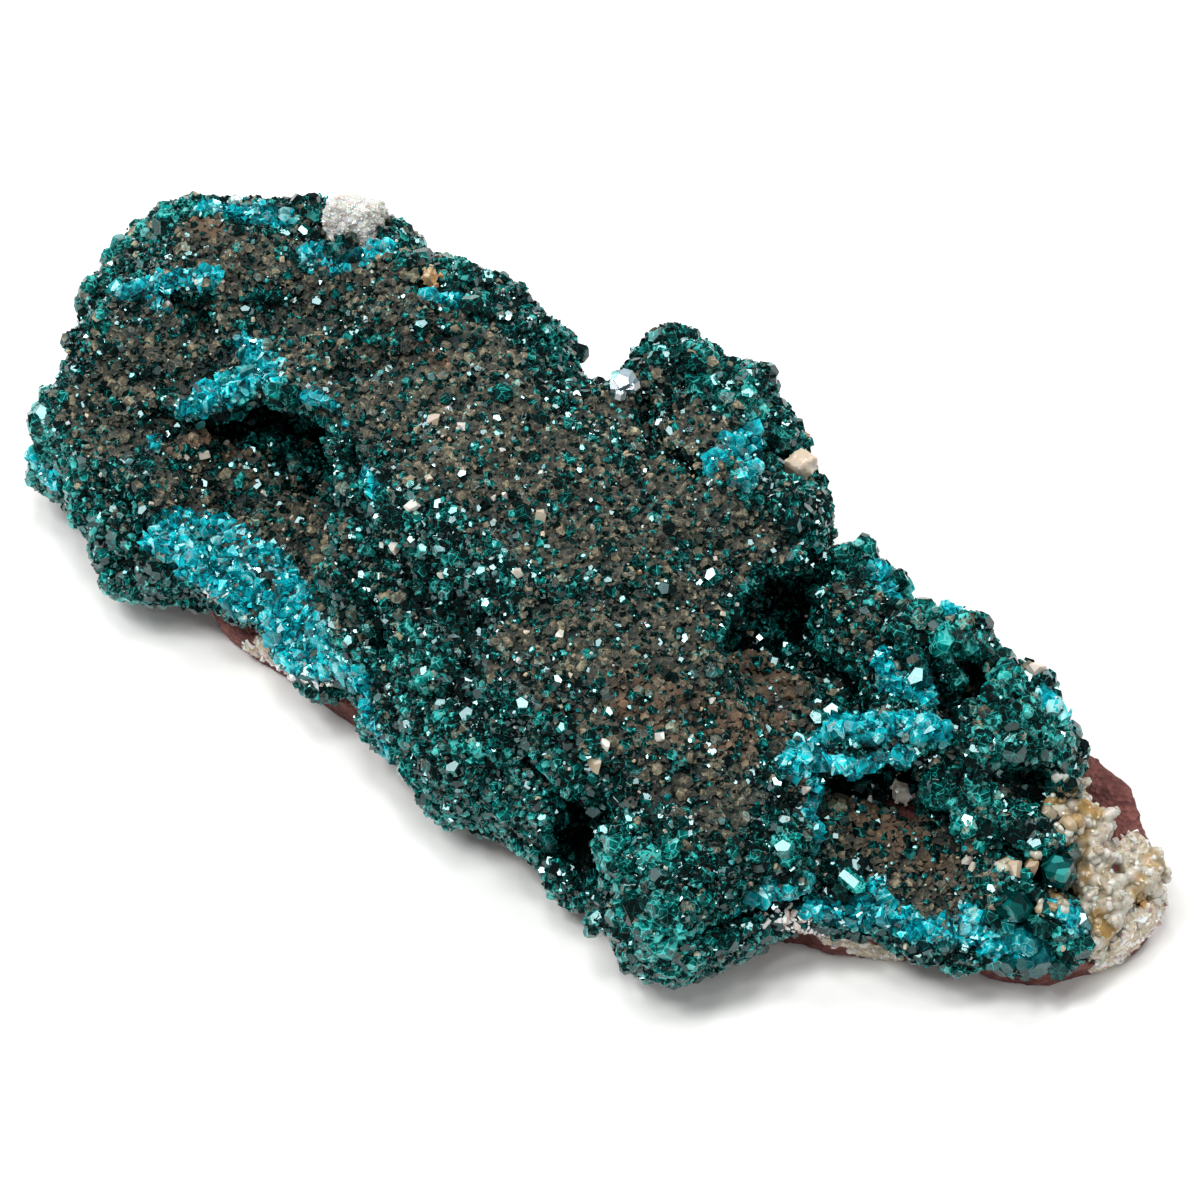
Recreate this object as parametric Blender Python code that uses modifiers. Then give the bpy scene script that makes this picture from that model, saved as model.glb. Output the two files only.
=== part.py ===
"""Dioptase on matrix: a hand specimen with a green crystal crust grown over a slab of red-brown rock.

The rock slab is cut flat below and rests on that cut. The crust is one solid, grown together: rounded
lumps, overhanging ledges and hollows, with flat-faced crystals fused to it. The calcite, the quartz and the
dioptase prisms that stand among the calcite are solids of their own.

Sizes are in millimetres, turned to metres where the shapes are made. +X runs along the specimen to the bare
tip of the rock and +Z is up. The origin is under the middle of the specimen, on what it rests on.
"""

import math
import random
from collections import namedtuple

import bmesh
import bpy
from mathutils import Matrix, Vector, noise

MM = 0.001

# Driving dimensions, mm
ROCK_TOP = 7.0  # height of the slab's top under the crust
ROCK_CUT = 1.4  # how much of the rough slab's underside the flat cut takes off
TIP_START, TIP_LENGTH, TIP_FALL, TIP_CURVE = 36.0, 13.0, 3.4, 1.6  # the slope over the bare tip
FRONT_START, FRONT_LENGTH, FRONT_FALL = -6.0, 12.0, 3.6  # the slope to the front
TOP_SHARE, FOOT_SHARE = (0.99, 0.97), (0.96, 0.92)  # the slab's plan at its top and foot, against its outline
ROCK_VOXEL = 1.4
ROCK_ROUGHNESS = 0.9
ROCK_TRIANGLES = 800
CRUST_VOXEL = 0.85
CRUST_ROUGHNESS = 1.15
CRUST_TRIANGLES = 2600
LEDGE_STEP = 1.6  # spacing of the lumps along a ledge
LEDGE_WIDTH = 1.25  # how wide a ledge's lump is, against its thickness
CRUST_GRAIN = 5.0  # size of the crust's small lumps
ROCK_GRAIN = 6.0
FINER = 2.7  # how much finer the second noise is than the first
FINE_SHARE = 0.45
GAP = 0.35  # clearance between two pieces that touch
MERGE = 0.001  # points closer than this are one
CRYSTAL_COUNT = 112
CRYSTAL_SPACING = 2.8
CRYSTAL_RADIUS = (0.8, 1.7)
CRYSTAL_TILT = math.radians(28)
CRYSTAL_SUNK = 1.3  # how deep a crystal stands in the crust, against its radius
CRYSTAL_SHOWING = 1.15  # how far it stands out, against its radius
LOWEST_CRYSTAL = 3.0
CAP_RISE = 0.95  # how steep the three end faces are
APEX = 0.98  # where they meet, against the crystal's length
APEX_GROWTH = 2.6  # how much longer a crystal grows while each of its faces moves out by one
LEVEL = 0.85  # a facet whose normal rises more than this counts as level
LEVEL_SHARE = 0.45  # the large crystals on level ground, against those on the slopes
CALCITE_SIZE = (0.9, 1.4)
RHOMB_SHEAR = 0.18
RHOMB_LEAN = (0.3, 1.0)
STONE_SHARES = (0.8, 0.7)  # the two rhombs of a blocky crystal, against its half size
SEED = 7

# The rock slab's plan outline, from the bare tip round by the back
OUTLINE = [
    (48.4, 4.2), (47.6, 8.0), (44.6, 11.0), (39.6, 13.4), (33.0, 13.2), (26.0, 10.8), (14.0, 11.2),
    (4.0, 14.0), (-5.0, 14.4), (-13.0, 10.4), (-24.0, 11.0), (-35.0, 9.0), (-44.0, 4.4), (-46.0, -3.6),
    (-42.6, -12.6), (-35.0, -17.0), (-28.6, -17.4), (-23.0, -18.0), (-18.0, -18.4), (-10.4, -18.4),
    (-3.0, -19.4), (8.0, -19.4), (19.0, -20.4), (25.6, -14.2), (31.0, -10.2), (38.0, -6.2),
    (44.0, -3.8), (47.0, 0.2),
]

# A rounded mass: its middle, half sizes, turn about Z in degrees and boxiness, where 1 is an ellipsoid
Lump = namedtuple("Lump", "x y z rx ry rz turn boxy", defaults=(0.0, 1.0))

LEFT_LOBE = [
    Lump(-37.2, -6.0, 5.4, 11.0, 13.0, 4.2, 0, 1.4),
    Lump(-32.2, -17.8, 6.0, 4.6, 3.6, 4.4),
    Lump(-35.6, -15.8, 7.6, 4.6, 3.8, 4.4),
    Lump(-42.2, -12.6, 8.4, 4.5, 4.8, 4.6),
    Lump(-38.0, -12.8, 8.2, 7.0, 5.4, 4.6, 20),
    Lump(-42.8, 1.6, 13.4, 6.8, 7.4, 5.6, 0, 1.1),
    Lump(-43.8, -5.2, 11.6, 5.4, 6.0, 5.0),
    Lump(-38.0, 5.0, 14.0, 7.4, 7.0, 5.4),
    Lump(-32.6, 8.2, 13.8, 9.0, 5.6, 6.0, 6, 1.2),
    Lump(-39.2, -6.0, 10.8, 8.2, 5.8, 4.2, 12, 1.2),
    Lump(-31.0, -0.8, 13.8, 4.8, 3.8, 3.0, 35),
    Lump(-26.5, -10.4, 4.8, 8.6, 6.6, 3.3, 0, 1.4),
    Lump(-18.4, -13.0, 4.6, 6.0, 4.8, 3.2, 0, 1.3),
]
MIDDLE_SLAB = [
    Lump(-5.6, -1.4, 11.2, 18.6, 13.0, 9.6, -4, 1.3),
    Lump(-22.2, 6.8, 12.4, 10.6, 7.8, 8.0, 0, 1.2),
    Lump(-19.0, -2.6, 14.2, 6.2, 5.0, 4.6, -45, 1.1),
    Lump(-10.4, -12.8, 9.4, 5.8, 5.0, 6.2),
    Lump(-5.0, -16.0, 7.6, 5.4, 4.9, 5.8),
    Lump(1.0, -17.8, 6.8, 5.4, 4.9, 6.0),
    Lump(6.8, -15.8, 7.4, 5.0, 4.8, 6.4),
    Lump(6.0, -8.4, 10.2, 12.0, 9.6, 8.8, 0, 1.2),
    Lump(1.6, 6.8, 10.8, 11.6, 7.8, 9.0, 0, 1.2),
    Lump(11.6, -19.0, 4.8, 3.9, 3.2, 3.4),
]
TOP_KNOB = [
    Lump(-5.4, 14.8, 15.8, 5.0, 4.0, 6.4),
    Lump(-1.0, 14.0, 15.6, 4.4, 4.2, 5.8),
    Lump(2.4, 14.4, 13.6, 4.0, 3.9, 5.8),
    Lump(6.0, 12.8, 11.6, 3.6, 3.4, 5.2),
]
FRONT_KNOB = [
    Lump(18.4, -16.8, 7.8, 5.4, 4.8, 5.6),
    Lump(21.4, -20.6, 6.0, 3.9, 3.6, 5.2),
    Lump(24.6, -16.8, 5.8, 3.1, 3.0, 3.8),
    Lump(17.4, -10.6, 8.4, 6.6, 6.4, 5.0, 0, 1.2),
    Lump(23.4, -11.0, 7.2, 4.6, 4.6, 4.8, 25, 1.2),
]
RIGHT_END = [
    Lump(18.0, 0.0, 6.0, 9.0, 11.0, 3.4, 0, 1.4),
    Lump(14.4, 8.6, 11.0, 3.7, 4.2, 5.8),
    Lump(18.2, 7.8, 9.6, 4.2, 4.4, 5.4),
    Lump(23.2, 8.0, 11.2, 4.8, 4.8, 6.8),
    Lump(31.2, 6.8, 10.8, 4.8, 5.0, 6.8),
    Lump(34.2, 7.2, 9.0, 3.5, 4.0, 5.4),
    Lump(32.4, 2.6, 9.6, 3.9, 3.6, 4.6),
    Lump(35.2, -0.2, 7.4, 3.7, 3.5, 4.6),
    Lump(38.4, 2.6, 7.2, 3.4, 3.4, 4.5),
    Lump(26.4, 3.4, 10.4, 4.6, 3.4, 4.0, 15),
    Lump(31.2, -4.2, 4.9, 8.0, 5.2, 3.2, 15, 1.3),
    Lump(40.2, -1.8, 5.4, 4.8, 3.2, 3.5, 10),
    Lump(43.8, -0.8, 4.5, 2.8, 2.8, 3.0),
]

# Hollows: under the two ledges, the pit with its slot, and the dark gap beside the front knob
HOLLOWS = [
    Lump(-27.4, -5.6, 11.0, 6.8, 3.8, 2.7, 12, 1.1),
    Lump(-25.6, -9.8, 13.0, 6.6, 3.8, 4.2, 5, 1.1),
    Lump(-21.0, -9.0, 11.0, 3.6, 2.8, 3.0, -30),
    Lump(11.4, 4.8, 12.0, 4.2, 2.8, 3.3, 20, 1.1),
    Lump(12.0, 8.0, 14.4, 1.7, 3.4, 4.6, 10),
    Lump(15.6, 0.8, 13.2, 5.2, 4.4, 4.2, 20, 1.1),
    Lump(26.4, -2.2, 9.4, 4.7, 2.8, 2.0, 24, 1.1),
    Lump(28.0, 6.6, 15.0, 1.2, 3.6, 3.4, -10),
    Lump(12.8, -17.6, 8.8, 2.0, 3.2, 4.2, -20),
]

# Overhanging broken edges of the crust, each a line of small lumps: points along it, and the half thickness
LEDGES = {
    "left": (
        [(-34.6, -9.6, 13.0), (-32.8, -7.8, 14.6), (-30.8, -5.4, 15.4), (-30.0, -2.6, 16.2)],
        1.6,
    ),
    "slab": (
        [(-29.0, -3.4, 16.4), (-25.2, -4.2, 17.2), (-22.0, -5.4, 17.0), (-19.4, -7.2, 16.0),
         (-17.2, -8.8, 14.6), (-16.0, -11.2, 12.4)],
        1.7,
    ),
    "front": (
        [(-30.4, -15.2, 6.6), (-27.0, -15.8, 6.0), (-22.4, -16.4, 5.6), (-18.0, -16.8, 5.4),
         (-13.4, -17.4, 5.2)],
        1.8,
    ),
    "right": (
        [(22.4, -5.2, 11.2), (23.4, -3.4, 12.8), (26.0, -2.2, 13.4), (28.0, -1.0, 13.4), (29.6, 1.2, 13.0)],
        1.6,
    ),
    "right front": (
        [(26.4, -12.6, 5.6), (29.6, -10.6, 5.0), (33.4, -8.8, 4.6), (37.6, -6.8, 4.3), (41.6, -4.6, 4.1)],
        1.5,
    ),
}

# Calcite: where each rhomb of the druse at the bare tip stands
CALCITE_DRUSE = [
    (37.6, 7.2, 8.0), (38.8, 6.2, 7.8), (40.2, 6.5, 7.3), (40.6, 5.2, 7.3), (41.6, 4.4, 7.1),
    (42.0, 3.0, 6.9), (43.2, 2.6, 6.4), (44.2, 3.4, 5.9), (44.6, 4.9, 5.5), (45.0, 6.4, 5.1),
    (44.8, 7.8, 4.8), (44.9, 1.8, 5.3), (44.8, 0.5, 4.5),
]

# Small crystals of other minerals that sit in the crust: where, and half size
SINGLE_STONES = {
    "quartz_knob": ((-34.2, 9.6, 19.0), 2.3),
    "calcite_on_back_edge": ((-25.2, 8.2, 20.2), 1.2),
    "clear_quartz": ((-6.6, 9.0, 20.4), 1.35),
    "calcite_behind_knob": ((6.4, 14.3, 16.2), 1.25),
    "calcite_in_hollow": ((28.0, -0.6, 8.6), 1.15),
}

# A calcite crystal: its middle, half size, and its heading and lean in radians
Rhomb = namedtuple("Rhomb", "middle half_size heading lean")

# Dioptase prisms that stand by themselves among the calcite
Prism = namedtuple("Prism", "foot direction radius length")
PRISMS = {
    "dioptase_prism_upper": Prism((39.8, 2.2, 7.0), (0.6, -0.5, 0.7), 1.3, 4.6),
    "dioptase_prism_lower": Prism((40.2, -1.8, 6.0), (0.1, -0.6, 0.8), 1.3, 4.2),
}


def clear_scene():
    for found in list(bpy.data.objects):
        bpy.data.objects.remove(found)


def collection(name, shown=True):
    made = bpy.data.collections.new(name)
    made.hide_render = not shown
    bpy.context.scene.collection.children.link(made)
    return made


def finish_material(name, colour, roughness):
    """A Principled BSDF with the piece's colour and roughness."""
    made = bpy.data.materials.new(name)
    made.use_nodes = True
    shader = made.node_tree.nodes["Principled BSDF"]
    shader.inputs["Base Color"].default_value = (*colour, 1.0)
    shader.inputs["Roughness"].default_value = roughness
    shader.inputs["Metallic"].default_value = 0.0
    return made


def object_from(mesh_data, name, into):
    made = bpy.data.objects.new(name, mesh_data)
    into.objects.link(made)
    return made


def object_from_bmesh(shape, name, into):
    mesh_data = bpy.data.meshes.new(name)
    shape.to_mesh(mesh_data)
    shape.free()
    return object_from(mesh_data, name, into)


def add_lump(shape, lump, subdivisions=3):
    """Adds one rounded mass to a bmesh: a sphere, squared off by its boxiness, sized, turned and moved."""
    made = bmesh.ops.create_icosphere(shape, subdivisions=subdivisions, radius=1.0)["verts"]
    power = 2.0 * lump.boxy
    for vertex in made:
        vertex.co *= sum(abs(value) ** power for value in vertex.co) ** (-1.0 / power)
    size = Matrix.Diagonal((lump.rx * MM, lump.ry * MM, lump.rz * MM, 1.0))
    place = Matrix.Translation(Vector((lump.x, lump.y, lump.z)) * MM)
    turn = Matrix.Rotation(math.radians(lump.turn), 4, "Z")
    bmesh.ops.transform(shape, matrix=place @ turn @ size, verts=made)


def lumps_object(lumps, name, into):
    shape = bmesh.new()
    for lump in lumps:
        add_lump(shape, lump)
    return object_from_bmesh(shape, name, into)


def baked(source, name, into):
    """A plain mesh object of what the modifiers of another make. The other is removed."""
    graph = bpy.context.evaluated_depsgraph_get()
    mesh_data = bpy.data.meshes.new_from_object(source.evaluated_get(graph))
    bpy.data.objects.remove(source)
    return object_from(mesh_data, name, into)


def add_remesh(target, voxel_mm, smooth_steps=2):
    """Joins overlapping masses into one closed skin and softens its steps."""
    remesh = target.modifiers.new("one skin", "REMESH")
    remesh.mode = "VOXEL"
    remesh.voxel_size = voxel_mm * MM
    soften = target.modifiers.new("soften", "SMOOTH")
    soften.iterations = smooth_steps
    soften.factor = 0.5


def add_decimate(target, triangles):
    graph = bpy.context.evaluated_depsgraph_get()
    count = sum(len(face.vertices) - 2 for face in target.evaluated_get(graph).data.polygons)
    fewer = target.modifiers.new("flat facets", "DECIMATE")
    fewer.ratio = triangles / count
    fewer.use_collapse_triangulate = True


def add_boolean(target, other, operation):
    made = target.modifiers.new(operation.lower(), "BOOLEAN")
    made.operation = operation
    made.solver = "EXACT"
    made.use_self = True
    made.object = other


def roughen(mesh_data, amount_mm, scale_mm, seed):
    """Moves each point along its normal by smooth noise of the given grain."""
    offset = Vector((seed * 31.7, seed * 17.3, seed * 5.9))
    normals = [vertex.normal.copy() for vertex in mesh_data.vertices]
    for vertex, normal in zip(mesh_data.vertices, normals):
        where = vertex.co / (scale_mm * MM) + offset
        coarse = noise.noise(where)
        fine = noise.noise(where * FINER)
        vertex.co += normal * (coarse + FINE_SHARE * fine) * amount_mm * MM


def weld(mesh_data):
    """Joins the points that a cut left on top of each other, and drops the faces that this empties."""
    shape = bmesh.new()
    shape.from_mesh(mesh_data)
    bmesh.ops.remove_doubles(shape, verts=shape.verts, dist=MERGE * MM)
    bmesh.ops.dissolve_degenerate(shape, edges=shape.edges, dist=MERGE * MM)
    shape.to_mesh(mesh_data)
    shape.free()


def largest_piece_only(mesh_data):
    """Deletes every loose chip that a cut left beside the main body."""
    shape = bmesh.new()
    shape.from_mesh(mesh_data)
    waiting = set(shape.verts)
    groups = []
    while waiting:
        group = set()
        edge_of_group = [waiting.pop()]
        while edge_of_group:
            vertex = edge_of_group.pop()
            group.add(vertex)
            near = {edge.other_vert(vertex) for edge in vertex.link_edges} & waiting
            waiting -= near
            edge_of_group.extend(near)
        groups.append(group)
    groups.sort(key=len)
    chips = [vertex for group in groups[:-1] for vertex in group]
    bmesh.ops.delete(shape, geom=chips, context="VERTS")
    shape.to_mesh(mesh_data)
    shape.free()


def rock_top(x, y):
    """Height of the slab's top: level under the crust, sloping down over the bare tip and to the front."""
    tip = max(0.0, min(1.0, (x - TIP_START) / TIP_LENGTH))
    front = max(0.0, min(1.0, (FRONT_START - y) / FRONT_LENGTH))
    return ROCK_TOP + ROCK_CUT - TIP_FALL * tip**TIP_CURVE - FRONT_FALL * front


def make_rock(parts):
    """The slab: the outline extruded, its top sloped, skinned, roughened and cut flat below."""
    shape = bmesh.new()
    ring = [shape.verts.new((x * MM, y * MM, 0.0)) for x, y in OUTLINE]
    base = shape.faces.new(ring)
    raised = bmesh.ops.extrude_face_region(shape, geom=[base])["geom"]
    for vertex in (item for item in raised if isinstance(item, bmesh.types.BMVert)):
        x, y = vertex.co.x / MM, vertex.co.y / MM
        vertex.co = Vector((x * TOP_SHARE[0], y * TOP_SHARE[1], rock_top(x, y))) * MM
    for vertex in ring:
        vertex.co.x *= FOOT_SHARE[0]
        vertex.co.y *= FOOT_SHARE[1]
    bmesh.ops.recalc_face_normals(shape, faces=shape.faces)
    rough = object_from_bmesh(shape, "rough slab", parts)
    add_remesh(rough, ROCK_VOXEL, smooth_steps=4)
    rough = baked(rough, "rough slab", parts)
    roughen(rough.data, ROCK_ROUGHNESS, ROCK_GRAIN, seed=SEED)
    add_decimate(rough, ROCK_TRIANGLES)
    rough = baked(rough, "rough slab", parts)

    shape = bmesh.new()
    shape.from_mesh(rough.data)
    bpy.data.objects.remove(rough)
    everything = shape.verts[:] + shape.edges[:] + shape.faces[:]
    cut = bmesh.ops.bisect_plane(
        shape, geom=everything, plane_co=(0, 0, ROCK_CUT * MM), plane_no=(0, 0, 1), clear_inner=True
    )["geom_cut"]
    rim = [item for item in cut if isinstance(item, bmesh.types.BMEdge)]
    bmesh.ops.contextual_create(shape, geom=rim)
    bmesh.ops.translate(shape, verts=shape.verts, vec=(0, 0, -ROCK_CUT * MM))
    bmesh.ops.triangulate(shape, faces=shape.faces)
    bmesh.ops.recalc_face_normals(shape, faces=shape.faces)
    return object_from_bmesh(shape, "matrix_rock", parts)


def swollen_copy(source, by_mm, name, into):
    """A copy of a piece, larger all round by the clearance, to cut its neighbour with."""
    copy = object_from(source.data.copy(), name, into)
    grow = copy.modifiers.new("clearance", "DISPLACE")
    grow.strength = by_mm * MM
    grow.mid_level = 0.0
    return copy


def add_crystal(shape, foot, direction, radius, length, twist):
    """Adds one dioptase crystal: a six-sided prism that ends in the three faces of a rhombohedron."""
    made = bmesh.ops.create_cone(
        shape, cap_ends=True, segments=6, radius1=radius * MM, radius2=radius * MM, depth=length * MM
    )["verts"]
    bmesh.ops.translate(shape, verts=made, vec=(0, 0, length * MM / 2))
    for side in range(3):
        angle = side * math.tau / 3 + math.pi / 6
        normal = Vector((math.cos(angle), math.sin(angle), CAP_RISE)).normalized()
        crystal_faces = {face for vertex in made for face in vertex.link_faces}
        crystal_edges = {edge for vertex in made for edge in vertex.link_edges}
        cut = bmesh.ops.bisect_plane(
            shape, geom=[*made, *crystal_edges, *crystal_faces],
            plane_co=(0, 0, length * MM * APEX), plane_no=normal, clear_outer=True,
        )
        rim = [item for item in cut["geom_cut"] if isinstance(item, bmesh.types.BMEdge)]
        bmesh.ops.contextual_create(shape, geom=rim)
        kept = {item for item in cut["geom"] if isinstance(item, bmesh.types.BMVert) and item.is_valid}
        made = list(kept | {vertex for edge in rim for vertex in edge.verts})
    bmesh.ops.remove_doubles(shape, verts=made, dist=MERGE * MM)
    made = [vertex for vertex in made if vertex.is_valid]
    stand = Vector((0, 0, 1)).rotation_difference(Vector(direction).normalized()).to_matrix().to_4x4()
    place = Matrix.Translation(Vector(foot) * MM) @ stand @ Matrix.Rotation(twist, 4, "Z")
    bmesh.ops.transform(shape, matrix=place, verts=made)


def scattered_crystals(surface, into):
    """Crystals set at random over the crust's outside, kept apart and leaning out of it."""
    chance = random.Random(SEED)
    faces = [face for face in surface.data.polygons if face.normal.z > -0.1]
    weights = [face.area * (1.0 if face.normal.z < LEVEL else LEVEL_SHARE) for face in faces]
    shape = bmesh.new()
    feet = []
    while len(feet) < CRYSTAL_COUNT:
        face = chance.choices(faces, weights)[0]
        foot = face.center / MM
        if foot.z < LOWEST_CRYSTAL or any((foot - other).length < CRYSTAL_SPACING for other in feet):
            continue
        feet.append(foot)
        lean = Vector((chance.uniform(-1, 1), chance.uniform(-1, 1), chance.uniform(-1, 1)))
        direction = (face.normal + lean * math.sin(CRYSTAL_TILT)).normalized()
        radius = chance.uniform(*CRYSTAL_RADIUS)
        sunk = radius * CRYSTAL_SUNK
        twist = chance.uniform(0, math.tau / 3)
        add_crystal(shape, foot - direction * sunk, direction, radius, sunk + radius * CRYSTAL_SHOWING, twist)
    return object_from_bmesh(shape, "crystals", into)


def ledge_lumps(points, half_thickness):
    """Small overlapping lumps at even steps along a line."""
    made = []
    for start, end in zip(points, points[1:]):
        start, end = Vector(start), Vector(end)
        steps = max(1, round((end - start).length / LEDGE_STEP))
        for step in range(steps + 1):
            middle = start.lerp(end, step / steps)
            half_width = half_thickness * LEDGE_WIDTH
            made.append(Lump(*middle, half_width, half_width, half_thickness))
    return made


def make_skin(parts, cutters):
    """The crust's outer form without its crystals: lumps less hollows, with the ledges added, in one skin."""
    skin = lumps_object(LEFT_LOBE + MIDDLE_SLAB + TOP_KNOB + FRONT_KNOB + RIGHT_END, "crust skin", parts)
    add_remesh(skin, CRUST_VOXEL, smooth_steps=2)
    skin = baked(skin, "crust skin", parts)
    hollows = lumps_object(HOLLOWS, "hollows", cutters)
    add_remesh(hollows, CRUST_VOXEL, smooth_steps=1)
    add_boolean(skin, hollows, "DIFFERENCE")
    skin = baked(skin, "crust skin", parts)
    bpy.data.objects.remove(hollows)
    shape = bmesh.new()
    shape.from_mesh(skin.data)
    for points, half_thickness in LEDGES.values():
        for lump in ledge_lumps(points, half_thickness):
            add_lump(shape, lump, subdivisions=2)
    shape.to_mesh(skin.data)
    shape.free()
    add_remesh(skin, CRUST_VOXEL, smooth_steps=1)
    skin = baked(skin, "crust skin", parts)
    roughen(skin.data, CRUST_ROUGHNESS, CRUST_GRAIN, seed=SEED + 1)
    add_remesh(skin, CRUST_VOXEL, smooth_steps=1)
    add_decimate(skin, CRUST_TRIANGLES)
    return baked(skin, "crust skin", parts)


def cut_by(piece, cutter, name, parts):
    """The piece less the cutter, as one closed body."""
    add_boolean(piece, cutter, "DIFFERENCE")
    piece = baked(piece, name, parts)
    weld(piece.data)
    largest_piece_only(piece.data)
    return piece


def make_crust(rock, parts, cutters):
    """The green crust, grown together with its crystals and seated on the rock."""
    skin = make_skin(parts, cutters)
    crystals = scattered_crystals(skin, cutters)
    add_boolean(skin, crystals, "UNION")
    skin = baked(skin, "crust skin", parts)
    bpy.data.objects.remove(crystals)
    seat = swollen_copy(rock, GAP, "seat of the crust", cutters)
    crust = cut_by(skin, seat, "dioptase_crust", parts)
    bpy.data.objects.remove(seat)
    return crust


def calcite_rhombs():
    """The rhombs of the druse, of random size and turn."""
    chance = random.Random(SEED + 2)
    return [
        Rhomb(middle, chance.uniform(*CALCITE_SIZE), chance.uniform(0, math.tau), chance.uniform(*RHOMB_LEAN))
        for middle in CALCITE_DRUSE
    ]


def stone_rhombs():
    """For each blocky crystal, two rhombs grown through each other, the second a little smaller."""
    chance = random.Random(SEED + 3)
    return {
        name: [
            Rhomb(middle, half_size * share, chance.uniform(0, math.tau), chance.uniform(*RHOMB_LEAN))
            for share in STONE_SHARES
        ]
        for name, (middle, half_size) in SINGLE_STONES.items()
    }


def add_rhomb(shape, rhomb, grown=0.0):
    """Adds a calcite rhomb: a cube pushed over along its diagonal, leaned and turned."""
    made = bmesh.ops.create_cube(shape, size=2 * (rhomb.half_size + grown) * MM)["verts"]
    shear = Matrix.Identity(4)
    shear[0][1] = shear[1][2] = RHOMB_SHEAR
    turn = Matrix.Rotation(rhomb.heading, 4, "Z") @ Matrix.Rotation(rhomb.lean, 4, "X")
    place = Matrix.Translation(Vector(rhomb.middle) * MM)
    bmesh.ops.transform(shape, matrix=place @ turn @ shear, verts=made)


def add_prism(shape, prism, grown=0.0):
    """Adds a dioptase prism that stands by itself. Grown, it is larger by that much on every face."""
    direction = Vector(prism.direction).normalized()
    foot = Vector(prism.foot) - direction * grown
    radius = prism.radius + grown / math.cos(math.pi / 6)
    add_crystal(shape, foot, direction, radius, prism.length + grown * APEX_GROWTH, 0.0)


def fused_rhombs(rhombs, name, parts, cutters):
    """One solid from overlapping rhombs."""
    shape = bmesh.new()
    add_rhomb(shape, rhombs[0])
    solid = object_from_bmesh(shape, name, parts)
    shape = bmesh.new()
    for rhomb in rhombs[1:]:
        add_rhomb(shape, rhomb)
    rest = object_from_bmesh(shape, "other rhombs", cutters)
    add_boolean(solid, rest, "UNION")
    solid = baked(solid, name, parts)
    bpy.data.objects.remove(rest)
    weld(solid.data)
    return solid


def make_prisms(parts):
    made = []
    for name, prism in PRISMS.items():
        shape = bmesh.new()
        add_prism(shape, prism)
        made.append(object_from_bmesh(shape, name, parts))
    return made


def prism_seats(cutters):
    shape = bmesh.new()
    for prism in PRISMS.values():
        add_prism(shape, prism, grown=GAP)
    return object_from_bmesh(shape, "seats of the prisms", cutters)


def rhomb_seats(rhombs, cutters):
    shape = bmesh.new()
    for rhomb in rhombs:
        add_rhomb(shape, rhomb, grown=GAP)
    return object_from_bmesh(shape, "seats of the rhombs", cutters)


def centre_on_origin(pieces):
    """Moves every piece so that the middle of the specimen's underside is the origin."""
    corners = [vertex.co for piece in pieces for vertex in piece.data.vertices]
    lowest = Vector(min(corner[axis] for corner in corners) for axis in range(3))
    highest = Vector(max(corner[axis] for corner in corners) for axis in range(3))
    middle = (lowest + highest) / 2
    for piece in pieces:
        piece.data.transform(Matrix.Translation((-middle.x, -middle.y, -lowest.z)))


def dress(piece, finish):
    piece.data.materials.clear()
    piece.data.materials.append(finish)


def main():
    clear_scene()
    parts = collection("dioptase_specimen")
    cutters = collection("cutters", shown=False)
    sandstone = finish_material("red-brown sandstone", (0.13, 0.05, 0.042), 0.85)
    dioptase = finish_material("dioptase", (0.0, 0.11, 0.12), 0.2)
    calcite = finish_material("calcite", (0.68, 0.6, 0.47), 0.4)
    quartz = finish_material("quartz", (0.75, 0.74, 0.7), 0.15)

    rock = make_rock(parts)
    crust = make_crust(rock, parts, cutters)
    prisms = make_prisms(parts)
    druse_rhombs = calcite_rhombs()
    stones_rhombs = stone_rhombs()
    druse = fused_rhombs(druse_rhombs, "calcite_druse", parts, cutters)
    stones = [fused_rhombs(rhombs, name, parts, cutters) for name, rhombs in stones_rhombs.items()]

    seats = prism_seats(cutters)
    druse = cut_by(druse, seats, "calcite_druse", parts)
    grown = [druse_rhombs, *stones_rhombs.values()]
    for seat in (seats, *(rhomb_seats(rhombs, cutters) for rhombs in grown)):
        rock = cut_by(rock, seat, "matrix_rock", parts)
        crust = cut_by(crust, seat, "dioptase_crust", parts)
        bpy.data.objects.remove(seat)

    dress(rock, sandstone)
    for piece in (crust, *prisms):
        dress(piece, dioptase)
    for piece in (druse, *stones):
        dress(piece, quartz if "quartz" in piece.name else calcite)
    centre_on_origin([rock, crust, *prisms, druse, *stones])


main()
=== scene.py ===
"""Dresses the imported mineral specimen: a green dioptase druse over maroon sandstone, with calcite and quartz.

Sizes are named in millimetres and meshes are made in metres. A place that was read on the photograph is a
pixel of its 1200 pixel frame, and a ray from the photograph's own viewpoint sets it on the surface there.
"""
import logging
import math
from dataclasses import dataclass, field
from enum import Enum

import bmesh
import bpy
import numpy as np
from mathutils import Matrix, Vector, noise
from mathutils.bvhtree import BVHTree
from mathutils.kdtree import KDTree


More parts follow.
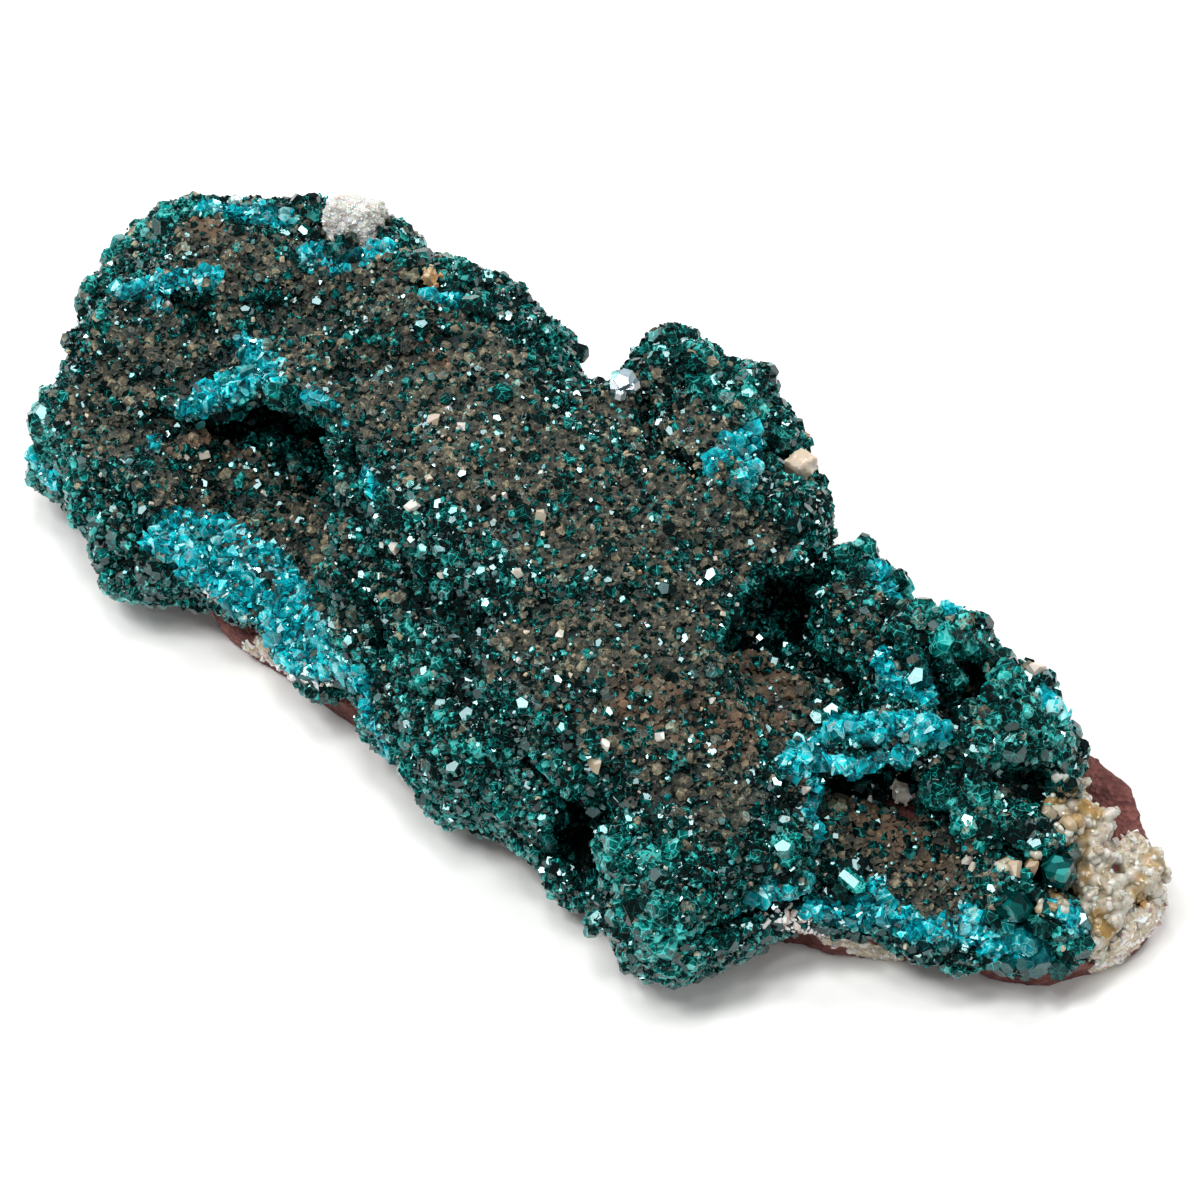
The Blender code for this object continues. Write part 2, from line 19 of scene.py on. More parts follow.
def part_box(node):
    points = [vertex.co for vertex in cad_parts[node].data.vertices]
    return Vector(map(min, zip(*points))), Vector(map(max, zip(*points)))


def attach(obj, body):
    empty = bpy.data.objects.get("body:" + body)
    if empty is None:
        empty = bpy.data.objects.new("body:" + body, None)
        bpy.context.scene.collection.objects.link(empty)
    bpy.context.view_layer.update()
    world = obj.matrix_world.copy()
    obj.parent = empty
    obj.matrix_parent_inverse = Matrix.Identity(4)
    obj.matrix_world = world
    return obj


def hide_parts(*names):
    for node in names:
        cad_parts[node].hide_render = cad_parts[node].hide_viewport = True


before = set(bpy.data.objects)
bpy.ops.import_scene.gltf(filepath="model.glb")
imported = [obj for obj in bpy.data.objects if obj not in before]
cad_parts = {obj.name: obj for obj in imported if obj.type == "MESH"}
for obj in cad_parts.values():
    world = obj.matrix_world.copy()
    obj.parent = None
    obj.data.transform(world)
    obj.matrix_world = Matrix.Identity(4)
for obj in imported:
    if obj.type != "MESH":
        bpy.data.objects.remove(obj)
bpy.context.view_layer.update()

LOG = logging.getLogger("specimen")

MM = 0.001
FRAME_PIXELS = 1200
PIXELS_PER_MM = 13.3
BODY = "root"

CRUST = "dioptase_crust"
ROCK = "matrix_rock"
CALCITE_DRUSE = "calcite_druse"
QUARTZ_KNOB = "quartz_knob"
CLEAR_QUARTZ = "clear_quartz"
# The single calcite stones: how white and how ochre each one is, from 0 to 1, and how many millimetres it
# lies inside the CAD's stone
SINGLE_CALCITES = {
    "calcite_on_back_edge": (0.25, 1.0, 0.55), "calcite_behind_knob": (0.4, 0.2, 0.15),
    "calcite_in_hollow": (0.8, 0.3, 0.45),
}
PRISMS = ("dioptase_prism_upper", "dioptase_prism_lower")

# The small clumps that the whole crust is made of: their spacing and the seed of their pattern
CLUMP_MM, CLUMP_SEED = 1.7, 8.0

# How far below its tip a crystal is in full shade, in radii
SHADED_LENGTH = 1.0

# How steep the faces on a crystal's tip are: in the druse, on the single dioptase crystals and on quartz
DRUSE_RISE, GEM_RISE, QUARTZ_RISE = 0.72, 0.66, 1.05

# The numbers of a Mix node's colour sockets
MIX_A, MIX_B, MIX_RESULT = 6, 7, 2


class Slot(Enum):
    """The record's material slots."""

    SANDSTONE = "sandstone"
    DIOPTASE = "dioptase"
    CALCITE = "calcite"
    QUARTZ = "quartz"


class Value(str, Enum):
    """The values that the meshes hand to their materials, each between 0 and 1."""

    TONE = "tone"
    DUST = "dust"
    BROKEN = "broken"
    # Painted shade: how far a colour is darkened towards a shadow colour
    SHADE = "shade"
    COAT = "coat"
    STAIN = "stain"


@dataclass(frozen=True)
class Trail:
    """A line followed on the photograph.

    Args:
        pixels: Its corners, in pixels of the photograph.
        reach: How far to either side its finish spreads, in pixels.
    """

    pixels: tuple[tuple[float, float], ...]
    reach: float


@dataclass(frozen=True)
class Spot:
    """One crystal or grain that stands out on the photograph.

    Args:
        pixel: Its middle, in pixels of the photograph.
        width: Its width there, in pixels.
        tone: How bright it is, where 1 is the brightest of its kind.
    """

    pixel: tuple[float, float]
    width: float
    tone: float = 0.75


BROKEN_TRAILS = (
    Trail(((161, 434), (171, 421), (196, 402), (241, 384), (268, 368), (249, 346)), 13),
    Trail(((161, 432), (188, 434)), 9),
    Trail(((262, 376), (279, 384)), 9),
    Trail(((313, 394), (335, 408), (346, 426), (356, 459), (375, 488)), 5),
    Trail(((118, 287), (150, 287), (188, 279), (209, 274)), 10),
    Trail(((150, 296), (161, 306)), 7),
    Trail(((206, 209), (249, 212), (284, 215)), 12),
    Trail(((308, 252), (330, 266), (356, 258), (383, 252)), 10),
    Trail(((156, 537), (180, 521), (220, 526), (250, 550), (282, 566), (301, 604), (328, 646), (360, 689)),
          14),
    Trail(((162, 545), (191, 566), (234, 598), (266, 628), (271, 646), (304, 668), (333, 665)), 12),
    Trail(((180, 545), (220, 560), (260, 600), (300, 650)), 14),
    Trail(((333, 665), (362, 692), (370, 719), (381, 737), (397, 770), (405, 796)), 6),
    Trail(((21, 437), (29, 453), (51, 480)), 7),
    Trail(((796, 762), (813, 740), (838, 723), (875, 726), (908, 723), (936, 728)), 15),
    Trail(((824, 765), (863, 768), (908, 756)), 8),
    Trail(((880, 653), (892, 681), (936, 695)), 11),
    Trail(((877, 571), (892, 591), (903, 602)), 10),
    Trail(((824, 773), (807, 812), (819, 829), (821, 863)), 8),
    Trail(((774, 894), (813, 905), (852, 914), (880, 911), (914, 928), (978, 933), (1001, 947), (1043, 964)),
          12),
    Trail(((875, 885), (897, 925)), 9),
    Trail(((970, 913), (1001, 939)), 9),
    Trail(((1057, 905), (1077, 922)), 11),
    Trail(((948, 608), (973, 605)), 8),
    Trail(((1046, 695), (1063, 717)), 8),
    Trail(((429, 301), (462, 298)), 8),
    Trail(((711, 472), (729, 443), (754, 435), (743, 483)), 9),
    Trail(((716, 927), (761, 905), (812, 881)), 5),
)
# Where the druse is lighter: partly clearer crystals, partly painted light along the outline, where thin edges
# let light through
BRIGHT_AND_LIT_TRAILS = (
    Trail(((703, 336), (729, 344), (737, 365), (756, 389), (762, 405)), 18),
    Trail(((630, 850), (650, 900), (670, 950)), 48),
    Trail(((400, 640), (440, 740), (520, 790)), 24),
    Trail(((880, 690), (940, 740)), 20),
    Trail(((1000, 880), (1030, 950), (1080, 950)), 26),
    Trail(((90, 560), (60, 470), (90, 520)), 22),
    Trail(((920, 600), (960, 640), (1000, 690), (1040, 720)), 30),
    Trail(((990, 730), (1010, 800), (970, 810)), 26),
    Trail(((390, 760), (440, 815), (520, 860)), 16),
    Trail(((650, 345), (700, 345)), 12),
    Trail(((36, 470), (42, 400), (60, 330), (92, 268), (130, 228), (180, 208)), 22),
    Trail(((400, 240), (450, 262), (486, 300)), 16),
    Trail(((630, 330), (660, 318), (700, 330), (740, 390), (780, 430), (820, 480)), 20),
    Trail(((830, 500), (860, 540), (905, 590), (960, 600)), 20),
)
COARSE_TRAILS = (
    Trail(((920, 610), (960, 650), (1005, 700), (1030, 730)), 44),
    Trail(((960, 800), (1010, 810), (1040, 800)), 40),
    Trail(((1010, 930), (1040, 940), (1085, 930)), 26),
    Trail(((660, 340), (700, 350), (740, 390)), 26),
    Trail(((630, 850), (650, 930)), 34),
    Trail(((400, 260), (460, 290)), 24),
    Trail(((36, 470), (42, 400), (60, 330), (92, 268), (130, 228), (180, 208), (240, 200)), 22),
    Trail(((860, 540), (905, 590), (960, 600)), 20),
    Trail(((740, 390), (780, 430), (820, 480)), 20),
)
DUST_TRAILS = (
    Trail(((290, 290), (380, 350), (470, 420), (560, 480), (640, 560), (700, 640)), 92),
    Trail(((230, 270), (180, 330), (120, 400)), 62),
    Trail(((620, 400), (680, 440), (720, 540), (760, 560)), 46),
    Trail(((200, 480), (270, 510), (320, 580)), 55),
    Trail(((560, 640), (640, 720), (700, 780)), 62),
    Trail(((740, 690), (770, 730)), 55),
    Trail(((830, 610), (860, 650)), 30),
    Trail(((860, 800), (900, 850), (950, 880)), 50),
    Trail(((735, 655), (770, 700)), 34),
)
RUST_TRAILS = (
    Trail(((640, 700), (690, 720), (740, 740)), 30),
    Trail(((735, 655), (755, 675), (770, 700)), 34),
    Trail(((196, 448), (205, 456)), 10),
    Trail(((180, 440), (236, 446)), 17),
    Trail(((650, 715), (725, 745)), 15),
    Trail(((870, 815), (930, 860)), 26),
    Trail(((420, 350), (440, 362)), 12),
    Trail(((196, 222), (214, 230)), 13),
    Trail(((800, 790), (812, 798)), 9),
)
# Cavities: the ground is pushed in here and darkened with painted shade
CAVITY_TRAILS = (
    Trail(((165, 436), (205, 432), (250, 426), (300, 424), (340, 440), (353, 470)), 9),
    Trail(((155, 416), (190, 430), (241, 416), (295, 408), (329, 421), (345, 461)), 12),
    Trail(((177, 306), (214, 300)), 7),
    Trail(((775, 590), (778, 625), (760, 640), (730, 640)), 13),
    Trail(((830, 777), (870, 787), (905, 772), (930, 765)), 11),
    Trail(((575, 840), (585, 870)), 14),
    Trail(((885, 640), (900, 668)), 8),
)
# Creases between the balls: the ground is pushed in here and darkened with painted shade
CREASE_TRAILS = (
    Trail(((925, 640), (945, 690), (955, 730), (942, 758)), 12),
    Trail(((957, 650), (975, 680), (968, 720)), 7),
    Trail(((944, 761), (995, 774), (1046, 788)), 13),
    Trail(((918, 788), (936, 820), (950, 852)), 9),
    Trail(((1000, 846), (1022, 858)), 8),
    Trail(((880, 607), (874, 646)), 7),
    Trail(((790, 600), (803, 655), (842, 684)), 10),
    Trail(((752, 633), (803, 660)), 9),
    Trail(((700, 942), (752, 916), (816, 897)), 7),
    Trail(((93, 478), (124, 502), (143, 527)), 7),
    Trail(((205, 310), (211, 332)), 7),
    Trail(((345, 560), (368, 600), (380, 650)), 8),
    Trail(((640, 395), (655, 440), (700, 470)), 7),
    Trail(((520, 760), (560, 800), (590, 830)), 8),
)
WHITE_TRAILS = (
    Trail(((1132, 852), (1156, 878), (1156, 910), (1140, 938), (1112, 962)), 22),
    Trail(((1128, 874), (1134, 905), (1112, 936)), 18),
    Trail(((1085, 830), (1110, 850)), 10),
    Trail(((194, 572), (212, 590), (226, 602)), 9),
    Trail(((255, 652), (290, 668), (325, 676)), 14),
    Trail(((262, 642), (290, 662), (322, 674)), 9),
    Trail(((774, 916), (810, 930), (847, 938)), 13),
    Trail(((858, 948), (900, 962), (936, 968)), 11),
)
CALCITE_TRAILS = (
    Trail(((1052, 790), (1066, 806), (1078, 812)), 16),
    Trail(((1060, 818), (1084, 838)), 15),
    Trail(((1000, 858), (1022, 866)), 9),
    Trail(((1090, 826), (1096, 842), (1090, 862)), 14),
    Trail(((1086, 880), (1098, 900), (1106, 914)), 14),
    Trail(((1034, 864), (1050, 884), (1056, 902)), 11),
    Trail(((1036, 672), (1048, 668)), 7),
)
OCHRE_TRAILS = (
    Trail(((1056, 808), (1078, 830)), 12),
    Trail(((1002, 860), (1020, 866)), 7),
    Trail(((1052, 876), (1064, 898)), 10),
    Trail(((1134, 896), (1140, 902)), 8),
    Trail(((1034, 858), (1050, 874), (1068, 878)), 12),
    Trail(((1042, 900), (1048, 912)), 7),
    Trail(((1084, 806), (1096, 814)), 8),
    Trail(((1096, 920), (1112, 936)), 9),
)
GLINTS = (
    Spot((622, 384), 27), Spot((785, 847), 22), Spot((455, 511), 13), Spot((440, 518), 9),
    Spot((483, 571), 14), Spot((563, 727), 12), Spot((606, 833), 15), Spot((543, 817), 12),
    Spot((630, 821), 11), Spot((748, 395), 18), Spot((425, 548), 13), Spot((77, 369), 12),
    Spot((652, 520), 9), Spot((497, 436), 9), Spot((583, 449), 9), Spot((715, 672), 10),
)
PALE_SPOTS = (
    Spot((541, 518), 16, 0.4), Spot((595, 762), 18, 0.4), Spot((659, 739), 11), Spot((433, 422), 15, 0.5),
    Spot((463, 428), 9),
    Spot((267, 494), 8), Spot((328, 529), 9), Spot((201, 455), 10), Spot((415, 505), 12),
    Spot((430, 479), 10), Spot((507, 498), 9), Spot((559, 638), 12), Spot((604, 745), 10),
    Spot((805, 790), 12), Spot((520, 575), 10), Spot((395, 545), 11), Spot((1037, 672), 20),
    Spot((1012, 872), 18, 0.3), Spot((1030, 868), 14, 0.2), Spot((968, 858), 11), Spot((974, 868), 9),
)
DARK_GEMS = (
    Spot((471, 309), 27), Spot((578, 353), 20), Spot((553, 360), 17), Spot((260, 412), 22),
    Spot((290, 398), 20), Spot((1026, 928), 30), Spot((522, 514), 19), Spot((448, 402), 15),
    Spot((503, 397), 24), Spot((388, 512), 16), Spot((400, 498), 14), Spot((462, 560), 18),
    Spot((983, 738), 22), Spot((1010, 720), 22), Spot((955, 640), 22), Spot((985, 655), 20),
)
# The ends of the long crystal that lies in the right hollow, and its thickness
LONG_GEM, LONG_GEM_MM = ((836, 868), (868, 894)), 1.3


def linear(hex_colour: str) -> tuple[float, float, float, float]:
    """Turns an sRGB hex colour into the linear values that Blender's sockets hold.

    Args:
        hex_colour: Six hex digits after a hash sign.

    Returns:
        Red, green, blue and an alpha of 1.
    """
    parts = [int(hex_colour[i:i + 2], 16) / 255 for i in (1, 3, 5)]
    red, green, blue = (p / 12.92 if p <= 0.04045 else ((p + 0.055) / 1.055) ** 2.4 for p in parts)
    return red, green, blue, 1.0


def step(low: float, high: float, values: np.ndarray) -> np.ndarray:
    """Rises smoothly from 0 at low to 1 at high, or falls where low is the larger.

    Args:
        low: Where the result is 0.
        high: Where the result is 1.
        values: The values to judge.

    Returns:
        An array of the same shape, between 0 and 1.
    """
    share = np.clip((values - low) / (high - low), 0.0, 1.0)
    return share * share * (3.0 - 2.0 * share)


def unit(vectors: np.ndarray) -> np.ndarray:
    """Gives each row a length of 1."""
    return vectors / np.maximum(np.linalg.norm(vectors, axis=-1, keepdims=True), 1e-9)


def pattern_places(points: np.ndarray, size: float, seed: float) -> list[Vector]:
    """Places in a pattern's own space, where one swelling is 1 wide."""
    shift = Vector((seed, 1.7 * seed, -2.3 * seed))
    return [Vector(p) / size + shift for p in points]


def billow(points: np.ndarray, size: float, seed: float) -> np.ndarray:
    """Smooth noise over points.

    Args:
        points: Places in millimetres, one to a row.
        size: The width of one swelling in millimetres.
        seed: Shifts the pattern.

    Returns:
        A value for each point, about -1 to 1.
    """
    return np.array([noise.noise(p) for p in pattern_places(points, size, seed)])


def pillows(points: np.ndarray, size: float, seed: float) -> np.ndarray:
    """Round swellings that meet in creases, as crystals grown in balls do.

    Args:
        points: Places in millimetres, one to a row.
        size: The distance between two swellings in millimetres.
        seed: Shifts the pattern.

    Returns:
        A height for each point, 0 in the creases and about 1 on a swelling's top.
    """
    near = np.array([noise.voronoi(p)[0][0] for p in pattern_places(points, size, seed)])
    return np.clip(1.0 - near * near / 0.75, 0.0, 1.0)


def heading(azimuth: float, elevation: float) -> Vector:
    """The direction that lies some degrees round the specimen from its front, and above the table."""
    turn, lift = math.radians(azimuth), math.radians(elevation)
    return Vector((math.sin(turn) * math.cos(lift), -math.cos(turn) * math.cos(lift), math.sin(lift)))


def search_tree(places: list[Vector] | np.ndarray) -> KDTree:
    """Makes a search tree in which each place is known by its number.

    Args:
        places: The places in millimetres.

    Returns:
        The tree, ready to be searched.
    """
    tree = KDTree(len(places))
    for index, place in enumerate(places):
        tree.insert(place, index)
    tree.balance()
    return tree


@dataclass(frozen=True)
class PhotoView:
    """The photograph's viewpoint, in the specimen's own frame.

    Args:
        azimuth: Degrees that the camera stands to the right of the front.
        elevation: Degrees above the table.
        distance: Millimetres from the middle of the view.
        focal: Focal length in pixels of the photograph.
        aim: The middle of the view, in millimetres from the middle of the upper prism.
    """

    azimuth: float = 40.0
    elevation: float = 50.0
    distance: float = 420.0
    focal: float = 5586.0
    aim: tuple[float, float, float] = (-40.79, -3.05, 1.89)

    def target(self) -> Vector:
        """The middle of the view in millimetres."""
        low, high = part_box(PRISMS[0])
        return (low + high) / (2 * MM) + Vector(self.aim)

    def axes(self) -> tuple[Vector, Vector, Vector]:
        """The view's right, up and backward directions."""
        turn = math.radians(self.azimuth)
        right, back = Vector((math.cos(turn), math.sin(turn), 0.0)), heading(self.azimuth, self.elevation)
        return right, back.cross(right), back

    def eye(self) -> Vector:
        """Where the camera stands, in millimetres."""
        return self.target() + self.axes()[2] * self.distance

    def ray(self, pixel: tuple[float, float]) -> Vector:
        """The direction in which a pixel of the photograph looks.

        Args:
            pixel: Pixels from the frame's left and top edges.

        Returns:
            A unit vector.
        """
        right, up, back = self.axes()
        across, down = ((p - FRAME_PIXELS / 2) / self.focal for p in pixel)
        return (right * across - up * down - back).normalized()

    def make_camera(self) -> bpy.types.Object:
        """Adds the camera at the photograph's viewpoint and makes it the scene's."""
        right, up, back = self.axes()
        lens = bpy.data.cameras.new("photo_camera")
        lens.sensor_width = 36.0
        lens.lens = self.focal * lens.sensor_width / FRAME_PIXELS
        lens.clip_start, lens.clip_end = 0.01, 10.0
        camera = bpy.data.objects.new("photo_camera", lens)
        turn = Matrix((right, up, back)).transposed().to_4x4()
        camera.matrix_world = Matrix.Translation(self.eye() * MM) @ turn
        bpy.context.scene.collection.objects.link(camera)
        bpy.context.scene.camera = camera
        return camera


@dataclass
class Skin:
    """A surface as arrays, in millimetres, for casting rays and for sowing crystals."""

    points: np.ndarray
    normals: np.ndarray
    triangles: np.ndarray

    @classmethod
    def of(cls, mesh: bpy.types.Mesh) -> "Skin":
        """Reads a mesh.

        Args:
            mesh: Any mesh, in metres.

        Returns:
            The surface of that mesh.
        """
        count = len(mesh.vertices)
        points = np.empty(count * 3)
        normals = np.empty(count * 3)
        mesh.vertices.foreach_get("co", points)
        mesh.vertices.foreach_get("normal", normals)
        mesh.calc_loop_triangles()
        triangles = np.empty(len(mesh.loop_triangles) * 3, dtype=np.int32)
        mesh.loop_triangles.foreach_get("vertices", triangles)
        return cls(points.reshape(-1, 3) / MM, normals.reshape(-1, 3), triangles.reshape(-1, 3))

    def joined(self, other: "Skin") -> "Skin":
        """This surface and another one together."""
        return Skin(
            np.vstack((self.points, other.points)),
            np.vstack((self.normals, other.normals)),
            np.vstack((self.triangles, other.triangles + len(self.points))),
        )

    def tree(self) -> BVHTree:
        """A search tree of the triangles."""
        return BVHTree.FromPolygons(self.points.tolist(), self.triangles.tolist())

    def sown(self, count: int, rng: np.random.Generator) -> tuple[np.ndarray, np.ndarray]:
        """Scatters points evenly over the surface.

        Args:
            count: How many points.
            rng: The seeded source of chance.

        Returns:
            The points, and the surface's direction at each.
        """
        corners = self.points[self.triangles]
        sides = corners[:, 1] - corners[:, 0], corners[:, 2] - corners[:, 0]
        areas = np.linalg.norm(np.cross(*sides), axis=1)
        picked = rng.choice(len(areas), count, p=areas / areas.sum())
        one, two = rng.random(count), rng.random(count)
        over = one + two > 1.0
        one[over], two[over] = 1.0 - one[over], 1.0 - two[over]
        shares = np.stack((1.0 - one - two, one, two), axis=1)[:, :, None]
        places = (corners[picked] * shares).sum(axis=1)
        normals = unit((self.normals[self.triangles[picked]] * shares).sum(axis=1))
        return places, normals


class Photo:
    """Sets pixels of the photograph on the specimen's surface.

    Args:
        view: The photograph's viewpoint.
        skin: The surface that the pixels lie on.
    """

    # The shortest step along a trail, in pixels
    smallest_step: float = 2.0

    def __init__(self, view: PhotoView, skin: Skin) -> None:
        self.view = view
        self.tree = skin.tree()

    def place(self, pixel: tuple[float, float]) -> tuple[Vector, Vector] | None:
        """Finds what a pixel shows.

        Args:
            pixel: Pixels from the frame's left and top edges.

        Returns:
            The place in millimetres and the surface's direction there, or None beside the specimen.
        """
        place, normal, _, _ = self.tree.ray_cast(self.view.eye(), self.view.ray(pixel))
        return None if place is None else (place, normal)

    def zone(self, trails: tuple[Trail, ...]) -> "Zone":
        """Follows trails over the surface and returns the zone that they cover."""
        places, reaches = [], []
        for trail in trails:
            for start, end in zip(trail.pixels, trail.pixels[1:]):
                steps = max(2, int(math.dist(start, end) / max(self.smallest_step, trail.reach / 4)))
                for share in np.linspace(0.0, 1.0, steps):
                    hit = self.place(tuple(a + (b - a) * share for a, b in zip(start, end)))
                    if hit:
                        places.append(hit[0])
                        reaches.append(trail.reach / PIXELS_PER_MM)
        return Zone(places, np.array(reaches))


class Zone:
    """The part of the surface that lies within reach of some places.

    Args:
        places: The places in millimetres.
        reaches: How far each one's finish spreads, in millimetres.
    """

    def __init__(self, places: list[Vector], reaches: np.ndarray) -> None:
        self.reaches = reaches
        self.tree = search_tree(places)

    def share(self, points: np.ndarray, soft: float = 0.5) -> np.ndarray:
        """How much each point belongs to the zone.

        Args:
            points: Places in millimetres, one to a row.
            soft: The width of the zone's soft edge, as a share of its reach.

        Returns:
            A value for each point, 1 inside and 0 well outside.
        """
        found = [self.tree.find(p) for p in points]
        near = np.array([f[2] for f in found]) / self.reaches[np.array([f[1] for f in found])]
        return step(1.0 + soft, 1.0 - soft, near)


class Relief:
    """How the ground lies against its own smoothed shape: hollow in the grooves, raised on the lumps.

    Args:
        mesh: The shaped ground.
        rounds: How many rounds of smoothing it is set against.
        lump_mm: How far above the smoothed shape a lump is wholly in the open.
        groove_mm: How far below it a groove is wholly in the shade.
    """

    def __init__(self, mesh: bpy.types.Mesh, rounds: int = 70, lump_mm: float = 0.45,
                 groove_mm: float = 0.75) -> None:
        even = Skin.of(softened(mesh, rounds))
        ground = Skin.of(mesh)
        height = ((ground.points - even.points) * even.normals).sum(axis=1)
        self.hollow = step(lump_mm, -groove_mm, height)
        self.tree = search_tree(ground.points)

    def share(self, points: np.ndarray) -> np.ndarray:
        """How hollow the ground is at each point, from 0 on a lump to 1 in a groove."""
        return self.hollow[[self.tree.find(p)[1] for p in points]]


@dataclass
class Zones:
    """Every zone that was followed on the photograph, and the grooves of the ground once it is shaped.

    Args:
        photo: Sets pixels on the surface.
        relief: The grooves, or None before the ground is shaped.
        cavity_shade: How much painted shade darkens a cavity.
        crease_shade: How much painted shade darkens a crease between two balls.
        gap_shade: How much painted shade darkens the gap between two clumps.
        groove_shade: How much painted shade darkens a groove of the shaped ground.
        open_light: How much painted light lightens every place on the shaped ground.
        most_shade: The most painted shade that a place can get.
    """

    photo: Photo
    relief: Relief | None = None
    cavity_shade: float = 0.8
    crease_shade: float = 0.9
    gap_shade: float = 0.5
    groove_shade: float = 0.95
    open_light: float = 0.15
    most_shade: float = 0.95
    broken: Zone = field(init=False)
    bright: Zone = field(init=False)
    dust: Zone = field(init=False)
    rust: Zone = field(init=False)
    cavity: Zone = field(init=False)
    crease: Zone = field(init=False)
    coarse: Zone = field(init=False)
    white: Zone = field(init=False)
    calcite: Zone = field(init=False)
    ochre: Zone = field(init=False)

    def __post_init__(self) -> None:
        """Follows the trails of each zone."""
        self.broken = self.photo.zone(BROKEN_TRAILS)
        self.bright = self.photo.zone(BRIGHT_AND_LIT_TRAILS)
        self.dust = self.photo.zone(DUST_TRAILS)
        self.rust = self.photo.zone(RUST_TRAILS)
        self.cavity = self.photo.zone(CAVITY_TRAILS)
        self.crease = self.photo.zone(CREASE_TRAILS)
        self.coarse = self.photo.zone(COARSE_TRAILS)
        self.white = self.photo.zone(WHITE_TRAILS)
        self.calcite = self.photo.zone(CALCITE_TRAILS)
        self.ochre = self.photo.zone(OCHRE_TRAILS)

    def split(self, points: np.ndarray) -> np.ndarray:
        """How much of the crust is broken open at each point, in uneven patches."""
        return np.clip(self.broken.share(points) * (1.05 + 0.7 * billow(points, 1.5, 14.0)), 0.0, 1.0)

    def shaded(self, points: np.ndarray) -> np.ndarray:
        """How much painted shade each point gets: in cavities, creases, gaps between clumps and grooves."""
        hidden = self.cavity_shade * self.cavity.share(points, 0.6)
        hidden += self.crease_shade * self.crease.share(points, 0.8)
        hidden += self.gap_shade * (1.0 - pillows(points, CLUMP_MM, CLUMP_SEED)) ** 2
        if self.relief:
            clean = 1.0 - 0.45 * self.dust.share(points)
            hidden += self.groove_shade * self.relief.share(points) * clean - self.open_light
        return np.clip(hidden, 0.0, self.most_shade)

    def dusted(self, points: np.ndarray, normals: np.ndarray) -> np.ndarray:
        """How dusty the druse is: where the photograph shows it, on what faces up, in drifts.

        Args:
            points: Places in millimetres.
            normals: The surface's direction at each.

        Returns:
            A value for each point.
        """
        drifts = 0.5 + 0.5 * billow(points, 4.2, 11.0) + 0.3 * billow(points, 1.6, 17.0)
        level = step(0.15, 0.75, normals[:, 2])
        seen = self.dust.share(points, 0.35)
        settled = level * (0.12 + 0.95 * seen) * (0.3 + 1.05 * drifts)
        return np.clip(settled + 0.7 * level * self.rust.share(points), 0.0, 1.0)


def add_node(tree: bpy.types.NodeTree, kind: str, links: dict | None = None, values: dict | None = None,
             stops: tuple = (), **settings: object) -> bpy.types.Node:
    """Adds a node with its settings and links.

    Args:
        tree: The material's node tree.
        kind: The node's type.
        links: The output that feeds each input, by the input's name or number.
        values: The value of each input that nothing feeds.
        stops: A colour ramp's positions and hex colours.
        settings: The node's own properties.

    Returns:
        The node.
    """
    made = tree.nodes.new(kind)
    for name, value in settings.items():
        setattr(made, name, value)
    for name, value in (values or {}).items():
        made.inputs[name].default_value = value
    for name, source in (links or {}).items():
        tree.links.new(source, made.inputs[name])
    if stops:
        marks = made.color_ramp.elements
        for _ in stops[2:]:
            marks.new(0.5)
        for mark, (place, colour) in zip(marks, stops):
            mark.position = place
            mark.color = linear(colour) if isinstance(colour, str) else (colour, colour, colour, 1.0)
    return made


def new_material(name: str) -> tuple[bpy.types.Material, bpy.types.NodeTree, bpy.types.Node]:
    """Starts a material.

    Args:
        name: What the finish is and how it was made.

    Returns:
        The material, its node tree and its output node.
    """
    material = bpy.data.materials.new(name)
    material.use_nodes = True
    material.node_tree.nodes.clear()
    return material, material.node_tree, add_node(material.node_tree, "ShaderNodeOutputMaterial")


